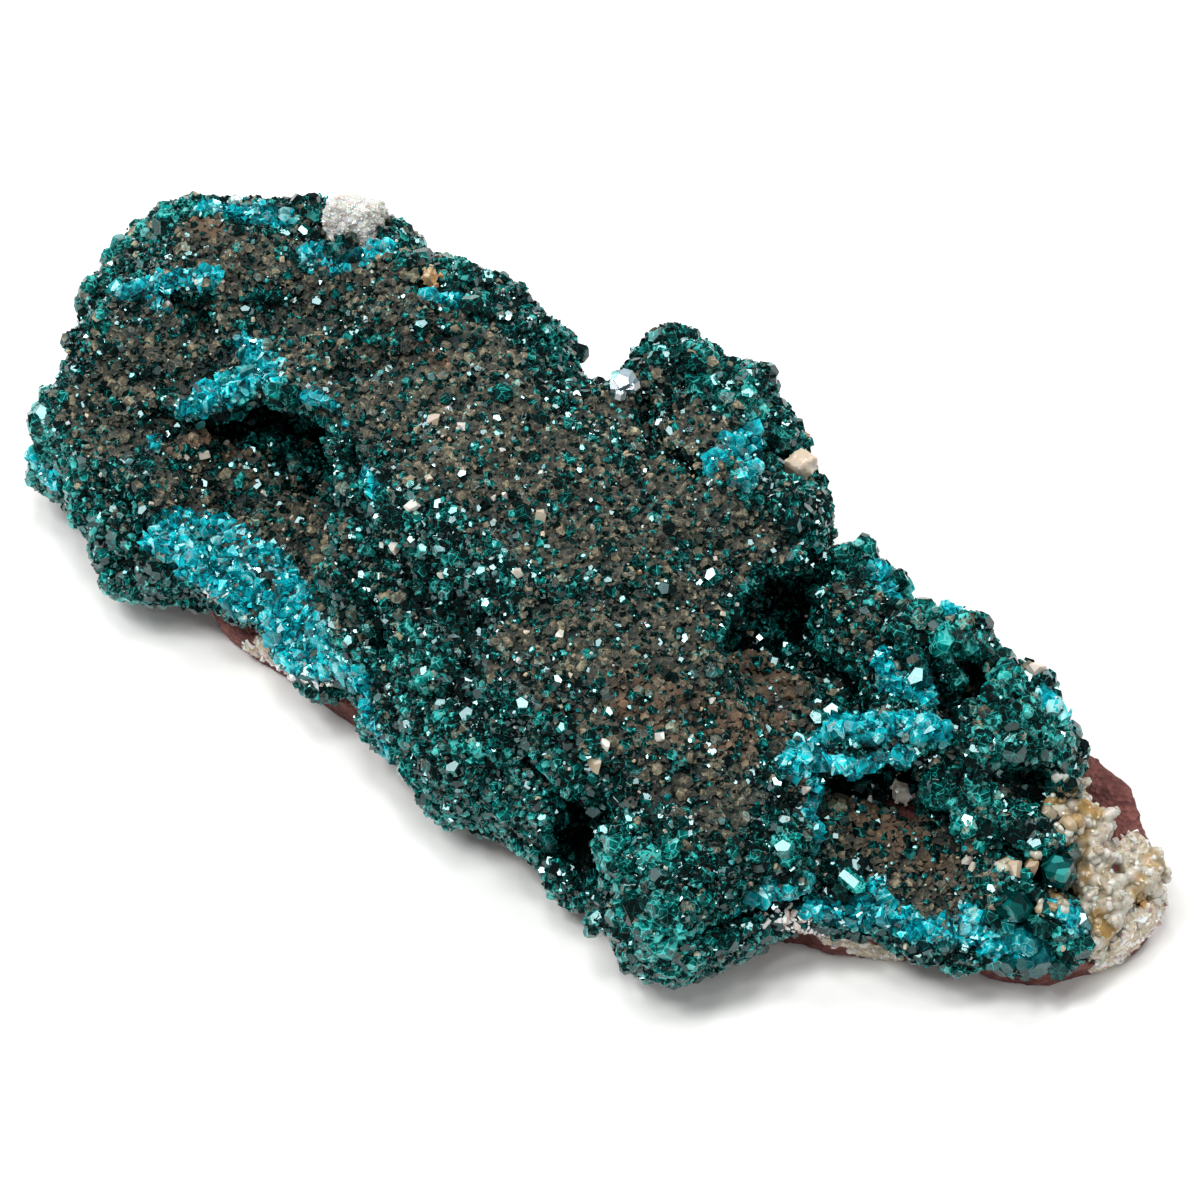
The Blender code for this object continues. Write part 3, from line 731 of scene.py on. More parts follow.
@dataclass(frozen=True)
class DioptaseFinish:
    """Dioptase grown in a druse: glassy, deep blue-green crystals, with pale brown clay dust on top.

    The facets are smooth, so they throw small hard glints. A facet that light comes through from behind is
    brighter than its neighbour, which the tone of each face gives, and light that the far side throws back
    breaks a facet up into small bright and dark fields. Dust is rough and hides the green. Its grains are
    drawn a fifth of a millimetre wide, because real clay is too fine to show.
    """

    name: str = "dioptase, grown druse with clay dust"
    depth: tuple = ((0.0, "#000505"), (0.28, "#001514"), (0.48, "#003532"), (0.68, "#006660"),
                    (0.85, "#009f99"), (1.0, "#5cd2cb"))
    fracture: tuple = ((0.0, "#00414b"), (0.2, "#008292"), (0.45, "#00b2c0"), (0.78, "#12ced6"),
                       (1.0, "#aeecee"))
    dust: tuple = ((0.0, "#0c0a07"), (0.22, "#2c251b"), (0.42, "#5f5442"), (0.62, "#948569"),
                   (0.85, "#cbbd9f"), (1.0, "#f0e6d0"))
    rust: str = "#8a6446"
    # The colour that painted shade darkens the druse towards
    shadow: str = "#040504"
    gleam: str = "#c8eef1"
    dust_grain_mm: float = 0.22
    dust_depth_mm: float = 0.08
    dust_edge: tuple[float, float] = (0.74, 1.06)
    dust_slope: float = 0.7
    clay_tone: float = 0.55
    inner_facet_mm: float = 0.3
    inner_spread: float = 0.55
    # Painted highlights: thin bright lines along a pattern's edges, where crystal edges would catch the light
    edge_mm: float = 0.7
    edge_width: float = 0.05
    edge_light: float = 0.5
    gloss_roughness: float = 0.07
    dust_roughness: float = 0.8
    refraction: float = 1.66

    def material(self) -> bpy.types.Material:
        """Makes the material, which reads the faces' own values."""
        made, tree, output = new_material(self.name)
        read = {v: add_node(tree, "ShaderNodeAttribute", attribute_name=v.value).outputs["Fac"]
                for v in (Value.TONE, Value.DUST, Value.BROKEN, Value.SHADE, Value.STAIN)}
        where = add_node(tree, "ShaderNodeTexCoord").outputs["Object"]
        facing = add_node(tree, "ShaderNodeSeparateXYZ",
                          {"Vector": add_node(tree, "ShaderNodeNewGeometry").outputs["True Normal"]})
        grains = add_node(tree, "ShaderNodeTexNoise", {"Vector": where},
                          {"Scale": 1 / (self.dust_grain_mm * MM), "Detail": 3.0, "Roughness": 0.7})
        level = add_node(tree, "ShaderNodeMapRange", {"Value": facing.outputs["Z"]},
                         {"From Min": 0.0, "From Max": self.dust_slope}, interpolation_type="SMOOTHSTEP")
        settled = add_node(tree, "ShaderNodeMath", {0: read[Value.DUST], 1: level.outputs[0]},
                           operation="MULTIPLY")
        patchy = add_node(tree, "ShaderNodeMath", {0: settled.outputs[0], 1: grains.outputs["Fac"]},
                          operation="ADD")
        bare, dusty = self.dust_edge
        covered = add_node(tree, "ShaderNodeMapRange", {"Value": patchy.outputs[0]},
                           {"From Min": bare, "From Max": dusty}, interpolation_type="SMOOTHSTEP")
        facets = add_node(tree, "ShaderNodeTexVoronoi", {"Vector": where},
                          {"Scale": 1 / (self.inner_facet_mm * MM)})
        # Painted highlights along the edges of a pattern
        steps = add_node(tree, "ShaderNodeTexVoronoi", {"Vector": where}, {"Scale": 1 / (self.edge_mm * MM)},
                         feature="DISTANCE_TO_EDGE")
        edge_highlights = add_node(tree, "ShaderNodeMapRange", {"Value": steps.outputs["Distance"]},
                         {"From Min": self.edge_width, "From Max": 0.0, "To Max": self.edge_light})
        lit = add_node(tree, "ShaderNodeMath", {0: read[Value.TONE], 1: edge_highlights.outputs[0]}, operation="ADD")
        sparkle = add_node(tree, "ShaderNodeMath", {0: facets.outputs["Color"], 2: lit.outputs[0]},
                           {1: self.inner_spread}, operation="MULTIPLY_ADD")
        tone = add_node(tree, "ShaderNodeMath", {0: sparkle.outputs[0]}, {1: self.inner_spread / 2},
                        operation="SUBTRACT", use_clamp=True)
        grown = add_node(tree, "ShaderNodeValToRGB", {"Fac": tone.outputs[0]}, stops=self.depth)
        cracked = add_node(tree, "ShaderNodeValToRGB", {"Fac": tone.outputs[0]}, stops=self.fracture)
        crystal = add_node(tree, "ShaderNodeMix", {0: read[Value.BROKEN], MIX_A: grown.outputs[0],
                                                   MIX_B: cracked.outputs[0]}, data_type="RGBA")
        settled_tone = add_node(tree, "ShaderNodeMix", {2: grains.outputs["Fac"], 3: tone.outputs[0]},
                                {0: self.clay_tone})
        clay = add_node(tree, "ShaderNodeValToRGB", {"Fac": settled_tone.outputs[0]}, stops=self.dust)
        stained = add_node(tree, "ShaderNodeMix", {0: read[Value.STAIN], MIX_A: clay.outputs[0]},
                           {MIX_B: linear(self.rust)}, data_type="RGBA")
        surface = add_node(tree, "ShaderNodeMix", {0: covered.outputs[0], MIX_A: crystal.outputs[MIX_RESULT],
                                                   MIX_B: stained.outputs[MIX_RESULT]}, data_type="RGBA")
        # Painted shade: the shade value darkens the colour towards the shadow colour
        shaded = add_node(tree, "ShaderNodeMix", {0: read[Value.SHADE], MIX_A: surface.outputs[MIX_RESULT]},
                          {MIX_B: linear(self.shadow)}, data_type="RGBA")
        rough = add_node(tree, "ShaderNodeMapRange", {"Value": covered.outputs[0]},
                         {"To Min": self.gloss_roughness, "To Max": self.dust_roughness})
        bump = add_node(tree, "ShaderNodeBump",
                        {"Height": grains.outputs["Fac"], "Strength": covered.outputs[0]},
                        {"Distance": self.dust_depth_mm * MM})
        shader = add_node(tree, "ShaderNodeBsdfPrincipled",
                          {"Base Color": shaded.outputs[MIX_RESULT], "Roughness": rough.outputs[0],
                           "Normal": bump.outputs[0]},
                          {"IOR": self.refraction, "Specular Tint": linear(self.gleam)})
        tree.links.new(shader.outputs[0], output.inputs["Surface"])
        return made


@dataclass(frozen=True)
class GemFinish:
    """Dioptase in single crystals: clear and deep green, so light passes through the thin edges.

    The stone inside takes out the red light, so a thick crystal looks nearly black and a thin one green.
    """

    name: str = "dioptase, single clear crystals"
    # Painted reflections: patches of lighter and darker green that stand in for light thrown back inside the
    # crystal
    fields: tuple = ((0.0, "#001a1b"), (0.45, "#003c3c"), (0.75, "#007370"), (1.0, "#49c4bd"))
    field_mm: float = 0.9
    absorbed: str = "#2fb5b0"
    density: float = 600.0
    clear: float = 0.4
    refraction: float = 1.66
    roughness: float = 0.04

    def material(self) -> bpy.types.Material:
        """Makes the material: a clear shader with an absorbing inside."""
        made, tree, output = new_material(self.name)
        where = add_node(tree, "ShaderNodeTexCoord").outputs["Object"]
        facets = add_node(tree, "ShaderNodeTexVoronoi", {"Vector": where},
                          {"Scale": 1 / (self.field_mm * MM)})
        tint = add_node(tree, "ShaderNodeValToRGB", {"Fac": facets.outputs["Color"]}, stops=self.fields)
        shader = add_node(tree, "ShaderNodeBsdfPrincipled", {"Base Color": tint.outputs[0]}, {
            "Roughness": self.roughness, "IOR": self.refraction, "Transmission Weight": self.clear})
        inside = add_node(tree, "ShaderNodeVolumeAbsorption", values={
            "Color": linear(self.absorbed), "Density": self.density})
        tree.links.new(shader.outputs[0], output.inputs["Surface"])
        tree.links.new(inside.outputs[0], output.inputs["Volume"])
        return made


@dataclass(frozen=True)
class StoneFinish:
    """Maroon sandstone, broken by hand: dull and grainy, with a pale carbonate coat in places.

    The grains are a third of a millimetre wide. Single pale grains and dark red ones speckle the maroon.
    """

    name: str = "sandstone, iron red, hand broken"
    maroon: tuple = ((0.0, "#25110e"), (0.3, "#4b2622"), (0.5, "#673834"), (0.72, "#814e46"),
                     (1.0, "#c89e8e"))
    coat: tuple = ((0.0, "#6f5f4c"), (0.3, "#a8987e"), (0.55, "#d6cab2"), (1.0, "#f4f0e6"))
    ochre: str = "#c08a3e"
    grain_mm: float = 0.34
    blotch_mm: float = 2.6
    blotch_share: float = 0.62
    coat_edge: tuple[float, float] = (0.92, 1.06)
    grit: float = 0.9
    grit_depth_mm: float = 0.22
    roughness: float = 0.86

    def material(self) -> bpy.types.Material:
        """Makes the material, which reads how much of the stone is coated."""
        made, tree, output = new_material(self.name)
        coated = add_node(tree, "ShaderNodeAttribute", attribute_name=Value.COAT.value).outputs["Fac"]
        stained = add_node(tree, "ShaderNodeAttribute", attribute_name=Value.STAIN.value).outputs["Fac"]
        where = add_node(tree, "ShaderNodeTexCoord").outputs["Object"]
        grains = add_node(tree, "ShaderNodeTexVoronoi", {"Vector": where},
                          {"Scale": 1 / (self.grain_mm * MM)})
        blotches = add_node(tree, "ShaderNodeTexNoise", {"Vector": where},
                            {"Scale": 1 / (self.blotch_mm * MM), "Detail": 6.0, "Roughness": 0.65})
        mixed = add_node(tree, "ShaderNodeMix", {2: grains.outputs["Color"], 3: blotches.outputs["Fac"]},
                         {0: self.blotch_share})
        bare = add_node(tree, "ShaderNodeValToRGB", {"Fac": mixed.outputs[0]}, stops=self.maroon)
        pale = add_node(tree, "ShaderNodeValToRGB", {"Fac": mixed.outputs[0]}, stops=self.coat)
        yellow = add_node(tree, "ShaderNodeMix", {0: stained, MIX_A: pale.outputs[0]},
                          {MIX_B: linear(self.ochre)}, data_type="RGBA")
        patchy = add_node(tree, "ShaderNodeMath", {0: coated, 1: blotches.outputs["Fac"]}, operation="ADD")
        stone, crust = self.coat_edge
        edge = add_node(tree, "ShaderNodeMapRange", {"Value": patchy.outputs[0]},
                        {"From Min": stone, "From Max": crust})
        colour = add_node(tree, "ShaderNodeMix", {0: edge.outputs[0], MIX_A: bare.outputs[0],
                                                  MIX_B: yellow.outputs[MIX_RESULT]}, data_type="RGBA")
        bump = add_node(tree, "ShaderNodeBump", {"Height": grains.outputs["Distance"]},
                        {"Strength": self.grit, "Distance": self.grit_depth_mm * MM})
        shader = add_node(tree, "ShaderNodeBsdfPrincipled",
                          {"Base Color": colour.outputs[MIX_RESULT], "Normal": bump.outputs[0]},
                          {"Roughness": self.roughness})
        tree.links.new(shader.outputs[0], output.inputs["Surface"])
        return made


@dataclass(frozen=True)
class PaleFinish:
    """Calcite and quartz in grains: milky, half clear, from white through cream to ochre.

    Light goes a little way in and comes out again, so edges glow and faces stay soft.
    """

    name: str = "calcite, grown grains, milky"
    shades: tuple = ((0.0, "#9a7350"), (0.18, "#c2a585"), (0.4, "#d9ccb8"), (0.7, "#e9e6df"),
                     (1.0, "#f7f8f8"))
    ochre: str = "#c8913f"
    cloud_mm: float = 0.7
    cloud_share: float = 0.35
    pitting: float = 0.25
    pit_depth_mm: float = 0.06
    glow: float = 0.4
    glow_mm: float = 0.5
    clear: float = 0.25
    roughness: float = 0.22
    refraction: float = 1.57

    def material(self) -> bpy.types.Material:
        """Makes the material, which reads the tone of each grain."""
        made, tree, output = new_material(self.name)
        tone = add_node(tree, "ShaderNodeAttribute", attribute_name=Value.TONE.value).outputs["Fac"]
        stained = add_node(tree, "ShaderNodeAttribute", attribute_name=Value.STAIN.value).outputs["Fac"]
        where = add_node(tree, "ShaderNodeTexCoord").outputs["Object"]
        clouds = add_node(tree, "ShaderNodeTexNoise", {"Vector": where},
                          {"Scale": 1 / (self.cloud_mm * MM), "Detail": 4.0, "Roughness": 0.6})
        varied = add_node(tree, "ShaderNodeMix", {2: tone, 3: clouds.outputs["Fac"]}, {0: self.cloud_share})
        ramp = add_node(tree, "ShaderNodeValToRGB", {"Fac": varied.outputs[0]}, stops=self.shades)
        colour = add_node(tree, "ShaderNodeMix", {0: stained, MIX_A: ramp.outputs[0]},
                          {MIX_B: linear(self.ochre)}, data_type="RGBA")
        bump = add_node(tree, "ShaderNodeBump", {"Height": clouds.outputs["Fac"]},
                        {"Strength": self.pitting, "Distance": self.pit_depth_mm * MM})
        shader = add_node(tree, "ShaderNodeBsdfPrincipled",
                          {"Base Color": colour.outputs[MIX_RESULT], "Normal": bump.outputs[0]},
                          {"Roughness": self.roughness, "IOR": self.refraction,
                           "Transmission Weight": self.clear, "Subsurface Weight": self.glow,
                           "Subsurface Scale": self.glow_mm * MM})
        tree.links.new(shader.outputs[0], output.inputs["Surface"])
        return made


# Calcite that grew in round lumps: half clear and glossy, so highlights sit on grey and brown depths
CALCITE_FINISH = PaleFinish(
    name="calcite, grown blobs, half clear", clear=0.35, roughness=0.05, glow_mm=0.4, ochre="#bd9a5e",
    shades=((0.0, "#3a2c1c"), (0.22, "#78654a"), (0.42, "#a99a7d"), (0.65, "#dad5c6"), (1.0, "#fdfdfb")))
# Calcite in a thin crust of tiny crystals: white, with the rusty stone showing between them
WHITE_CRUST_FINISH = PaleFinish(
    name="calcite, white crust with iron stain", clear=0.0, roughness=0.3, glow_mm=0.3,
    shades=((0.0, "#5a3528"), (0.15, "#98766a"), (0.35, "#c3b8b2"), (0.6, "#e4e1df"), (1.0, "#fdfdfd")))
# Quartz full of tiny hollows: milky, and a little pink where the stone stains it
MILKY_QUARTZ_FINISH = PaleFinish(
    name="quartz, milky, granular", clear=0.1, roughness=0.25, glow_mm=0.5,
    shades=((0.0, "#8a766c"), (0.25, "#b8a99e"), (0.55, "#dad3cd"), (1.0, "#fbfaf9")))
# Quartz without hollows: nearly clear, with a blue-grey inside and hard bright faces
CLEAR_QUARTZ_FINISH = PaleFinish(
    name="quartz, clear crystal", clear=0.35, roughness=0.02, glow_mm=0.2, refraction=1.54,
    shades=((0.0, "#39515e"), (0.3, "#6f8c9b"), (0.5, "#c9dae2"), (0.65, "#f7fafb"), (1.0, "#ffffff")))


@dataclass(frozen=True)
class FloorFinish:
    """A sheet of matt white paper: even and without gloss."""

    name: str = "paper, matt white"
    colour: str = "#f4f4f2"
    roughness: float = 0.9
    gloss: float = 0.1

    def material(self) -> bpy.types.Material:
        """Makes the material."""
        made, tree, output = new_material(self.name)
        shader = add_node(tree, "ShaderNodeBsdfPrincipled", values={
            "Base Color": linear(self.colour), "Roughness": self.roughness, "Specular IOR Level": self.gloss})
        tree.links.new(shader.outputs[0], output.inputs["Surface"])
        return made


def new_piece(name: str, mesh: bpy.types.Mesh, material: bpy.types.Material,
              stands_for: tuple[str, ...] = ()) -> bpy.types.Object:
    """Makes an object of a finished mesh and ties it to the frame.

    Args:
        name: The piece's name.
        mesh: Its mesh, in place and in metres.
        material: Its finish.
        stands_for: The CAD nodes that it replaces.

    Returns:
        The object.
    """
    mesh.materials.clear()
    mesh.materials.append(material)
    piece = bpy.data.objects.new(name, mesh)
    bpy.context.scene.collection.objects.link(piece)
    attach(piece, BODY)
    if stands_for:
        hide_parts(*stands_for)
    LOG.info("%s: %d triangles", name, sum(len(p.vertices) - 2 for p in mesh.polygons))
    return piece


def set_values(mesh: bpy.types.Mesh, domain: str, values: dict[Value, np.ndarray]) -> None:
    """Writes values into a mesh for its material to read.

    Args:
        mesh: The mesh.
        domain: POINT for a value at each vertex, or FACE for one on each face.
        values: The values by name.
    """
    for name, numbers in values.items():
        layer = mesh.attributes.new(name.value, "FLOAT", domain)
        layer.data.foreach_set("value", np.ascontiguousarray(numbers, dtype=np.float32).ravel())


def merged_copy(node: str) -> bmesh.types.BMesh:
    """Copies a CAD node's mesh, with its loose triangles joined at their corners.

    Args:
        node: The node's name.

    Returns:
        The copy, which the caller frees.
    """
    shape = bmesh.new()
    shape.from_mesh(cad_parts[node].data)
    bmesh.ops.remove_doubles(shape, verts=shape.verts, dist=0.001 * MM)
    return shape


def smoothing(holder: bpy.types.Object, rounds: int) -> None:
    """Adds a modifier that smooths an object's relief away."""
    soften = holder.modifiers.new("soften", "SMOOTH")
    soften.factor = 0.5
    soften.iterations = rounds


def applied(holder: bpy.types.Object) -> bpy.types.Mesh:
    """Applies an object's modifiers and removes the object.

    Args:
        holder: The object, which is in the scene already.

    Returns:
        A new mesh with the modifiers' result.
    """
    made = bpy.data.meshes.new_from_object(holder.evaluated_get(bpy.context.evaluated_depsgraph_get()))
    bpy.data.objects.remove(holder)
    return made


def remeshed(shape: bmesh.types.BMesh, voxel_mm: float, melt: int) -> bpy.types.Mesh:
    """Turns a shape into an even fine mesh with softened edges.

    Args:
        shape: The shape, which is freed.
        voxel_mm: The size of one face.
        melt: How many rounds of smoothing it gets.

    Returns:
        The new mesh.
    """
    rough = bpy.data.meshes.new("rough")
    shape.to_mesh(rough)
    shape.free()
    holder = bpy.data.objects.new("rough", rough)
    bpy.context.scene.collection.objects.link(holder)
    grid = holder.modifiers.new("grid", "REMESH")
    grid.mode = "VOXEL"
    grid.voxel_size = voxel_mm * MM
    smoothing(holder, melt)
    made = applied(holder)
    bpy.data.meshes.remove(rough)
    return made


def softened(mesh: bpy.types.Mesh, rounds: int) -> bpy.types.Mesh:
    """Copies a mesh with its relief smoothed away.

    Args:
        mesh: The mesh, which stays as it is.
        rounds: How many rounds of smoothing the copy gets.

    Returns:
        The copy, with the same vertices in the same order.
    """
    holder = bpy.data.objects.new("softened", mesh)
    bpy.context.scene.collection.objects.link(holder)
    smoothing(holder, rounds)
    return applied(holder)


def move_points(mesh: bpy.types.Mesh, points: np.ndarray) -> None:
    """Moves a mesh's vertices to new places, given in millimetres."""
    mesh.vertices.foreach_set("co", np.ascontiguousarray(points * MM, dtype=np.float32).ravel())
    mesh.update()


@dataclass
class Template:
    """One small shape, ready to be repeated: its corners and faces as arrays."""

    points: np.ndarray
    loops: np.ndarray
    totals: np.ndarray

    @classmethod
    def of(cls, shape: bmesh.types.BMesh) -> "Template":
        """Reads a shape and frees it.

        Args:
            shape: The shape, about 2 units wide and standing on the Z axis.

        Returns:
            Its template.
        """
        bmesh.ops.recalc_face_normals(shape, faces=shape.faces)
        shape.verts.index_update()
        points = np.array([v.co for v in shape.verts])
        loops = np.array([v.index for f in shape.faces for v in f.verts])
        totals = np.array([len(f.verts) for f in shape.faces])
        shape.free()
        return cls(points, loops, totals)


def cut_planes(shape: bmesh.types.BMesh, middle: Vector, directions: list[Vector]) -> None:
    """Cuts away what lies beyond each plane and closes the cut.

    Args:
        shape: The shape to cut.
        middle: A point that all the planes pass through.
        directions: The planes' outward directions.
    """
    for direction in directions:
        parts = [*shape.verts, *shape.edges, *shape.faces]
        cut = bmesh.ops.bisect_plane(
            shape, geom=parts, dist=1e-5, plane_co=middle, plane_no=direction, clear_outer=True)
        rim = [e for e in cut["geom_cut"] if isinstance(e, bmesh.types.BMEdge)]
        bmesh.ops.contextual_create(shape, geom=rim)


def prism_shape(length: float, rise: float) -> Template:
    """A six-sided prism closed above by three faces of a rhombohedron, as dioptase grows.

    Args:
        length: Its length below the tip, in radii.
        rise: How steep the three faces are.

    Returns:
        The template, with its tip at a height of 1.
    """
    shape = bmesh.new()
    depth = length + 1.0
    bmesh.ops.create_cone(shape, cap_ends=True, segments=6, radius1=0.92, radius2=1.0, depth=depth,
                          matrix=Matrix.Translation((0, 0, 1.0 - depth / 2)))
    turns = [math.radians(120 * k) for k in range(3)]
    slopes = [Vector((rise * math.cos(t), rise * math.sin(t), 1.0)) for t in turns]
    cut_planes(shape, Vector((0, 0, 1.0)), slopes)
    bmesh.ops.dissolve_degenerate(shape, edges=shape.edges, dist=1e-4)
    return Template.of(shape)


def rhomb_shape(stretch: float) -> Template:
    """A rhombohedron standing on one corner: the form of calcite, and of the smallest dioptase crystals.

    Args:
        stretch: Its length along the axis, where 1 gives a cube.

    Returns:
        The template.
    """
    shape = bmesh.new()
    bmesh.ops.create_cube(shape, size=1.25)
    upright = Vector((1, 1, 1)).rotation_difference(Vector((0, 0, 1))).to_matrix()
    bmesh.ops.rotate(shape, verts=shape.verts, matrix=upright)
    bmesh.ops.scale(shape, verts=shape.verts, vec=(1.0, 1.0, stretch))
    return Template.of(shape)


def shard_shape() -> Template:
    """A splinter of broken crystal: a block with two corners split off."""
    shape = bmesh.new()
    bmesh.ops.create_cube(shape, size=1.6)
    cut_planes(shape, Vector((0.25, 0.2, 0.55)), [Vector((0.8, 0.3, 0.6)), Vector((-0.5, 0.9, 0.7))])
    return Template.of(shape)


def pebble_shape() -> Template:
    """A rounded grain: a block with its edges worn."""
    shape = bmesh.new()
    bmesh.ops.create_cube(shape, size=1.5)
    bmesh.ops.bevel(shape, geom=shape.edges[:], offset=0.34, affect="EDGES", segments=1, profile=0.5,
                    material=-1)
    return Template.of(shape)


@dataclass
class Crop:
    """Crystals to be set down: where, which way they point, how large, and what their material reads."""

    places: np.ndarray
    turns: np.ndarray
    sizes: np.ndarray
    values: dict[Value, np.ndarray]

    def __post_init__(self) -> None:
        """Sets the values that aren't named to 0."""
        for value in (Value.DUST, Value.BROKEN, Value.SHADE, Value.STAIN):
            self.values.setdefault(value, np.zeros(len(self.places)))

    def __len__(self) -> int:
        """How many crystals there are."""
        return len(self.places)

    def picked(self, chosen: np.ndarray) -> "Crop":
        """The crystals whose numbers or marks are given."""
        values = {name: numbers[chosen] for name, numbers in self.values.items()}
        return Crop(self.places[chosen], self.turns[chosen], self.sizes[chosen], values)


def turned(axes: np.ndarray, rng: np.random.Generator) -> np.ndarray:
    """Turns that stand a crystal along each axis, each spun by chance.

    Args:
        axes: A unit vector for each crystal.
        rng: The seeded source of chance.

    Returns:
        A 3 by 3 matrix for each crystal.
    """
    side = unit(np.cross(axes, unit(rng.normal(size=axes.shape))))
    return np.stack((side, np.cross(axes, side), axes), axis=2)


def leaning(normals: np.ndarray, lean: float, rng: np.random.Generator) -> np.ndarray:
    """Directions that lean away from the normals by chance.

    Args:
        normals: A unit vector for each crystal.
        lean: How far they lean, where 0 is not at all and 1 is about 45 degrees.
        rng: The seeded source of chance.

    Returns:
        A unit vector for each crystal.
    """
    return unit(normals + lean * unit(rng.normal(size=normals.shape)) * rng.random((len(normals), 1)))


def half_way(place: Vector, eye: Vector, lamp: Vector) -> Vector:
    """The direction of a facet that throws a lamp's light at the camera.

    Args:
        place: Where the facet is, in millimetres.
        eye: Where the camera stands.
        lamp: Where the lamp stands.

    Returns:
        A unit vector.
    """
    return ((eye - place).normalized() + (lamp - place).normalized()).normalized()


def glinting(places: np.ndarray, rise: float, eye: Vector, lamp: Vector, rng: np.random.Generator,
             stray: float = 0.0) -> np.ndarray:
    """Turns crystals so that one face of each tip throws a lamp's light at the camera.

    Args:
        places: The crystals' places in millimetres.
        rise: How steep the tip's faces are.
        eye: Where the camera stands.
        lamp: Where the lamp stands.
        rng: The seeded source of chance.
        stray: How far off their faces point, where 1 is as far as a diagonal.

    Returns:
        A rotation matrix for each crystal.
    """
    face = Vector((rise, 0.0, 1.0)).normalized()
    turns = []
    for place in places:
        way = (half_way(Vector(place), eye, lamp) + stray * Vector(rng.normal(size=3))).normalized()
        spin = Matrix.Rotation(2.0 * math.pi * rng.random(), 3, way)
        turns.append(np.array(spin @ face.rotation_difference(way).to_matrix()))
    return np.array(turns)


def one_to_a_cell(places: np.ndarray, cell: float) -> np.ndarray:
    """Picks places so that about one lies in each cell of a grid.

    Args:
        places: Places in millimetres.
        cell: The grid's spacing.

    Returns:
        The numbers of the picked places.
    """
    cells = np.floor(places / cell).astype(np.int64)
    keys = (cells[:, 0] * 4096 + cells[:, 1]) * 4096 + cells[:, 2]
    return np.unique(keys, return_index=True)[1]


def planted(name: str, template: Template, crop: Crop, rng: np.random.Generator,
            face_spread: float = 0.56, foot_shade: float = 0.8, rounded: bool = False) -> bpy.types.Mesh:
    """Joins one mesh of many crystals of the same shape.

    Args:
        name: The mesh's name.
        template: The crystal's shape.
        crop: The crystals.
        rng: The seeded source of chance.
        face_spread: How much the tone differs between one crystal's faces.
        foot_shade: How much painted shade darkens a crystal at its foot, where its neighbours stand against it.
        rounded: Whether the edges between faces are soft.

    Returns:
        The mesh, with each crystal's values on its faces and its shade on its corners.
    """
    count, corners, faces = len(crop), len(template.points), len(template.totals)
    local = template.points[None] * crop.sizes[:, None, :]
    points = np.einsum("nij,nvj->nvi", crop.turns, local) + crop.places[:, None, :]
    starts = np.cumsum(template.totals) - template.totals
    mesh = bpy.data.meshes.new(name)
    mesh.vertices.add(count * corners)
    mesh.vertices.foreach_set("co", (points * MM).astype(np.float32).ravel())
    mesh.loops.add(count * len(template.loops))
    loops = template.loops[None] + (np.arange(count) * corners)[:, None]
    mesh.loops.foreach_set("vertex_index", loops.astype(np.int32).ravel())
    mesh.polygons.add(count * faces)
    firsts = starts[None] + (np.arange(count) * len(template.loops))[:, None]
    mesh.polygons.foreach_set("loop_start", firsts.astype(np.int32).ravel())
    mesh.update(calc_edges=True)
    if rounded:
        mesh.shade_smooth()
    else:
        mesh.shade_flat()
    values = {kind: np.repeat(numbers, faces) for kind, numbers in crop.values.items() if kind != Value.SHADE}
    tones = values[Value.TONE] + face_spread * (rng.random(count * faces) - 0.5)
    values[Value.TONE] = np.clip(tones, 0.0, 1.0)
    set_values(mesh, "FACE", values)
    heights = template.points[:, 2]
    depth = np.clip((heights.max() - heights) / SHADED_LENGTH, 0.0, 1.0)
    lit = (1.0 - crop.values[Value.SHADE])[:, None] * (1.0 - foot_shade * depth)[None]
    set_values(mesh, "POINT", {Value.SHADE: 1.0 - lit})
    return mesh


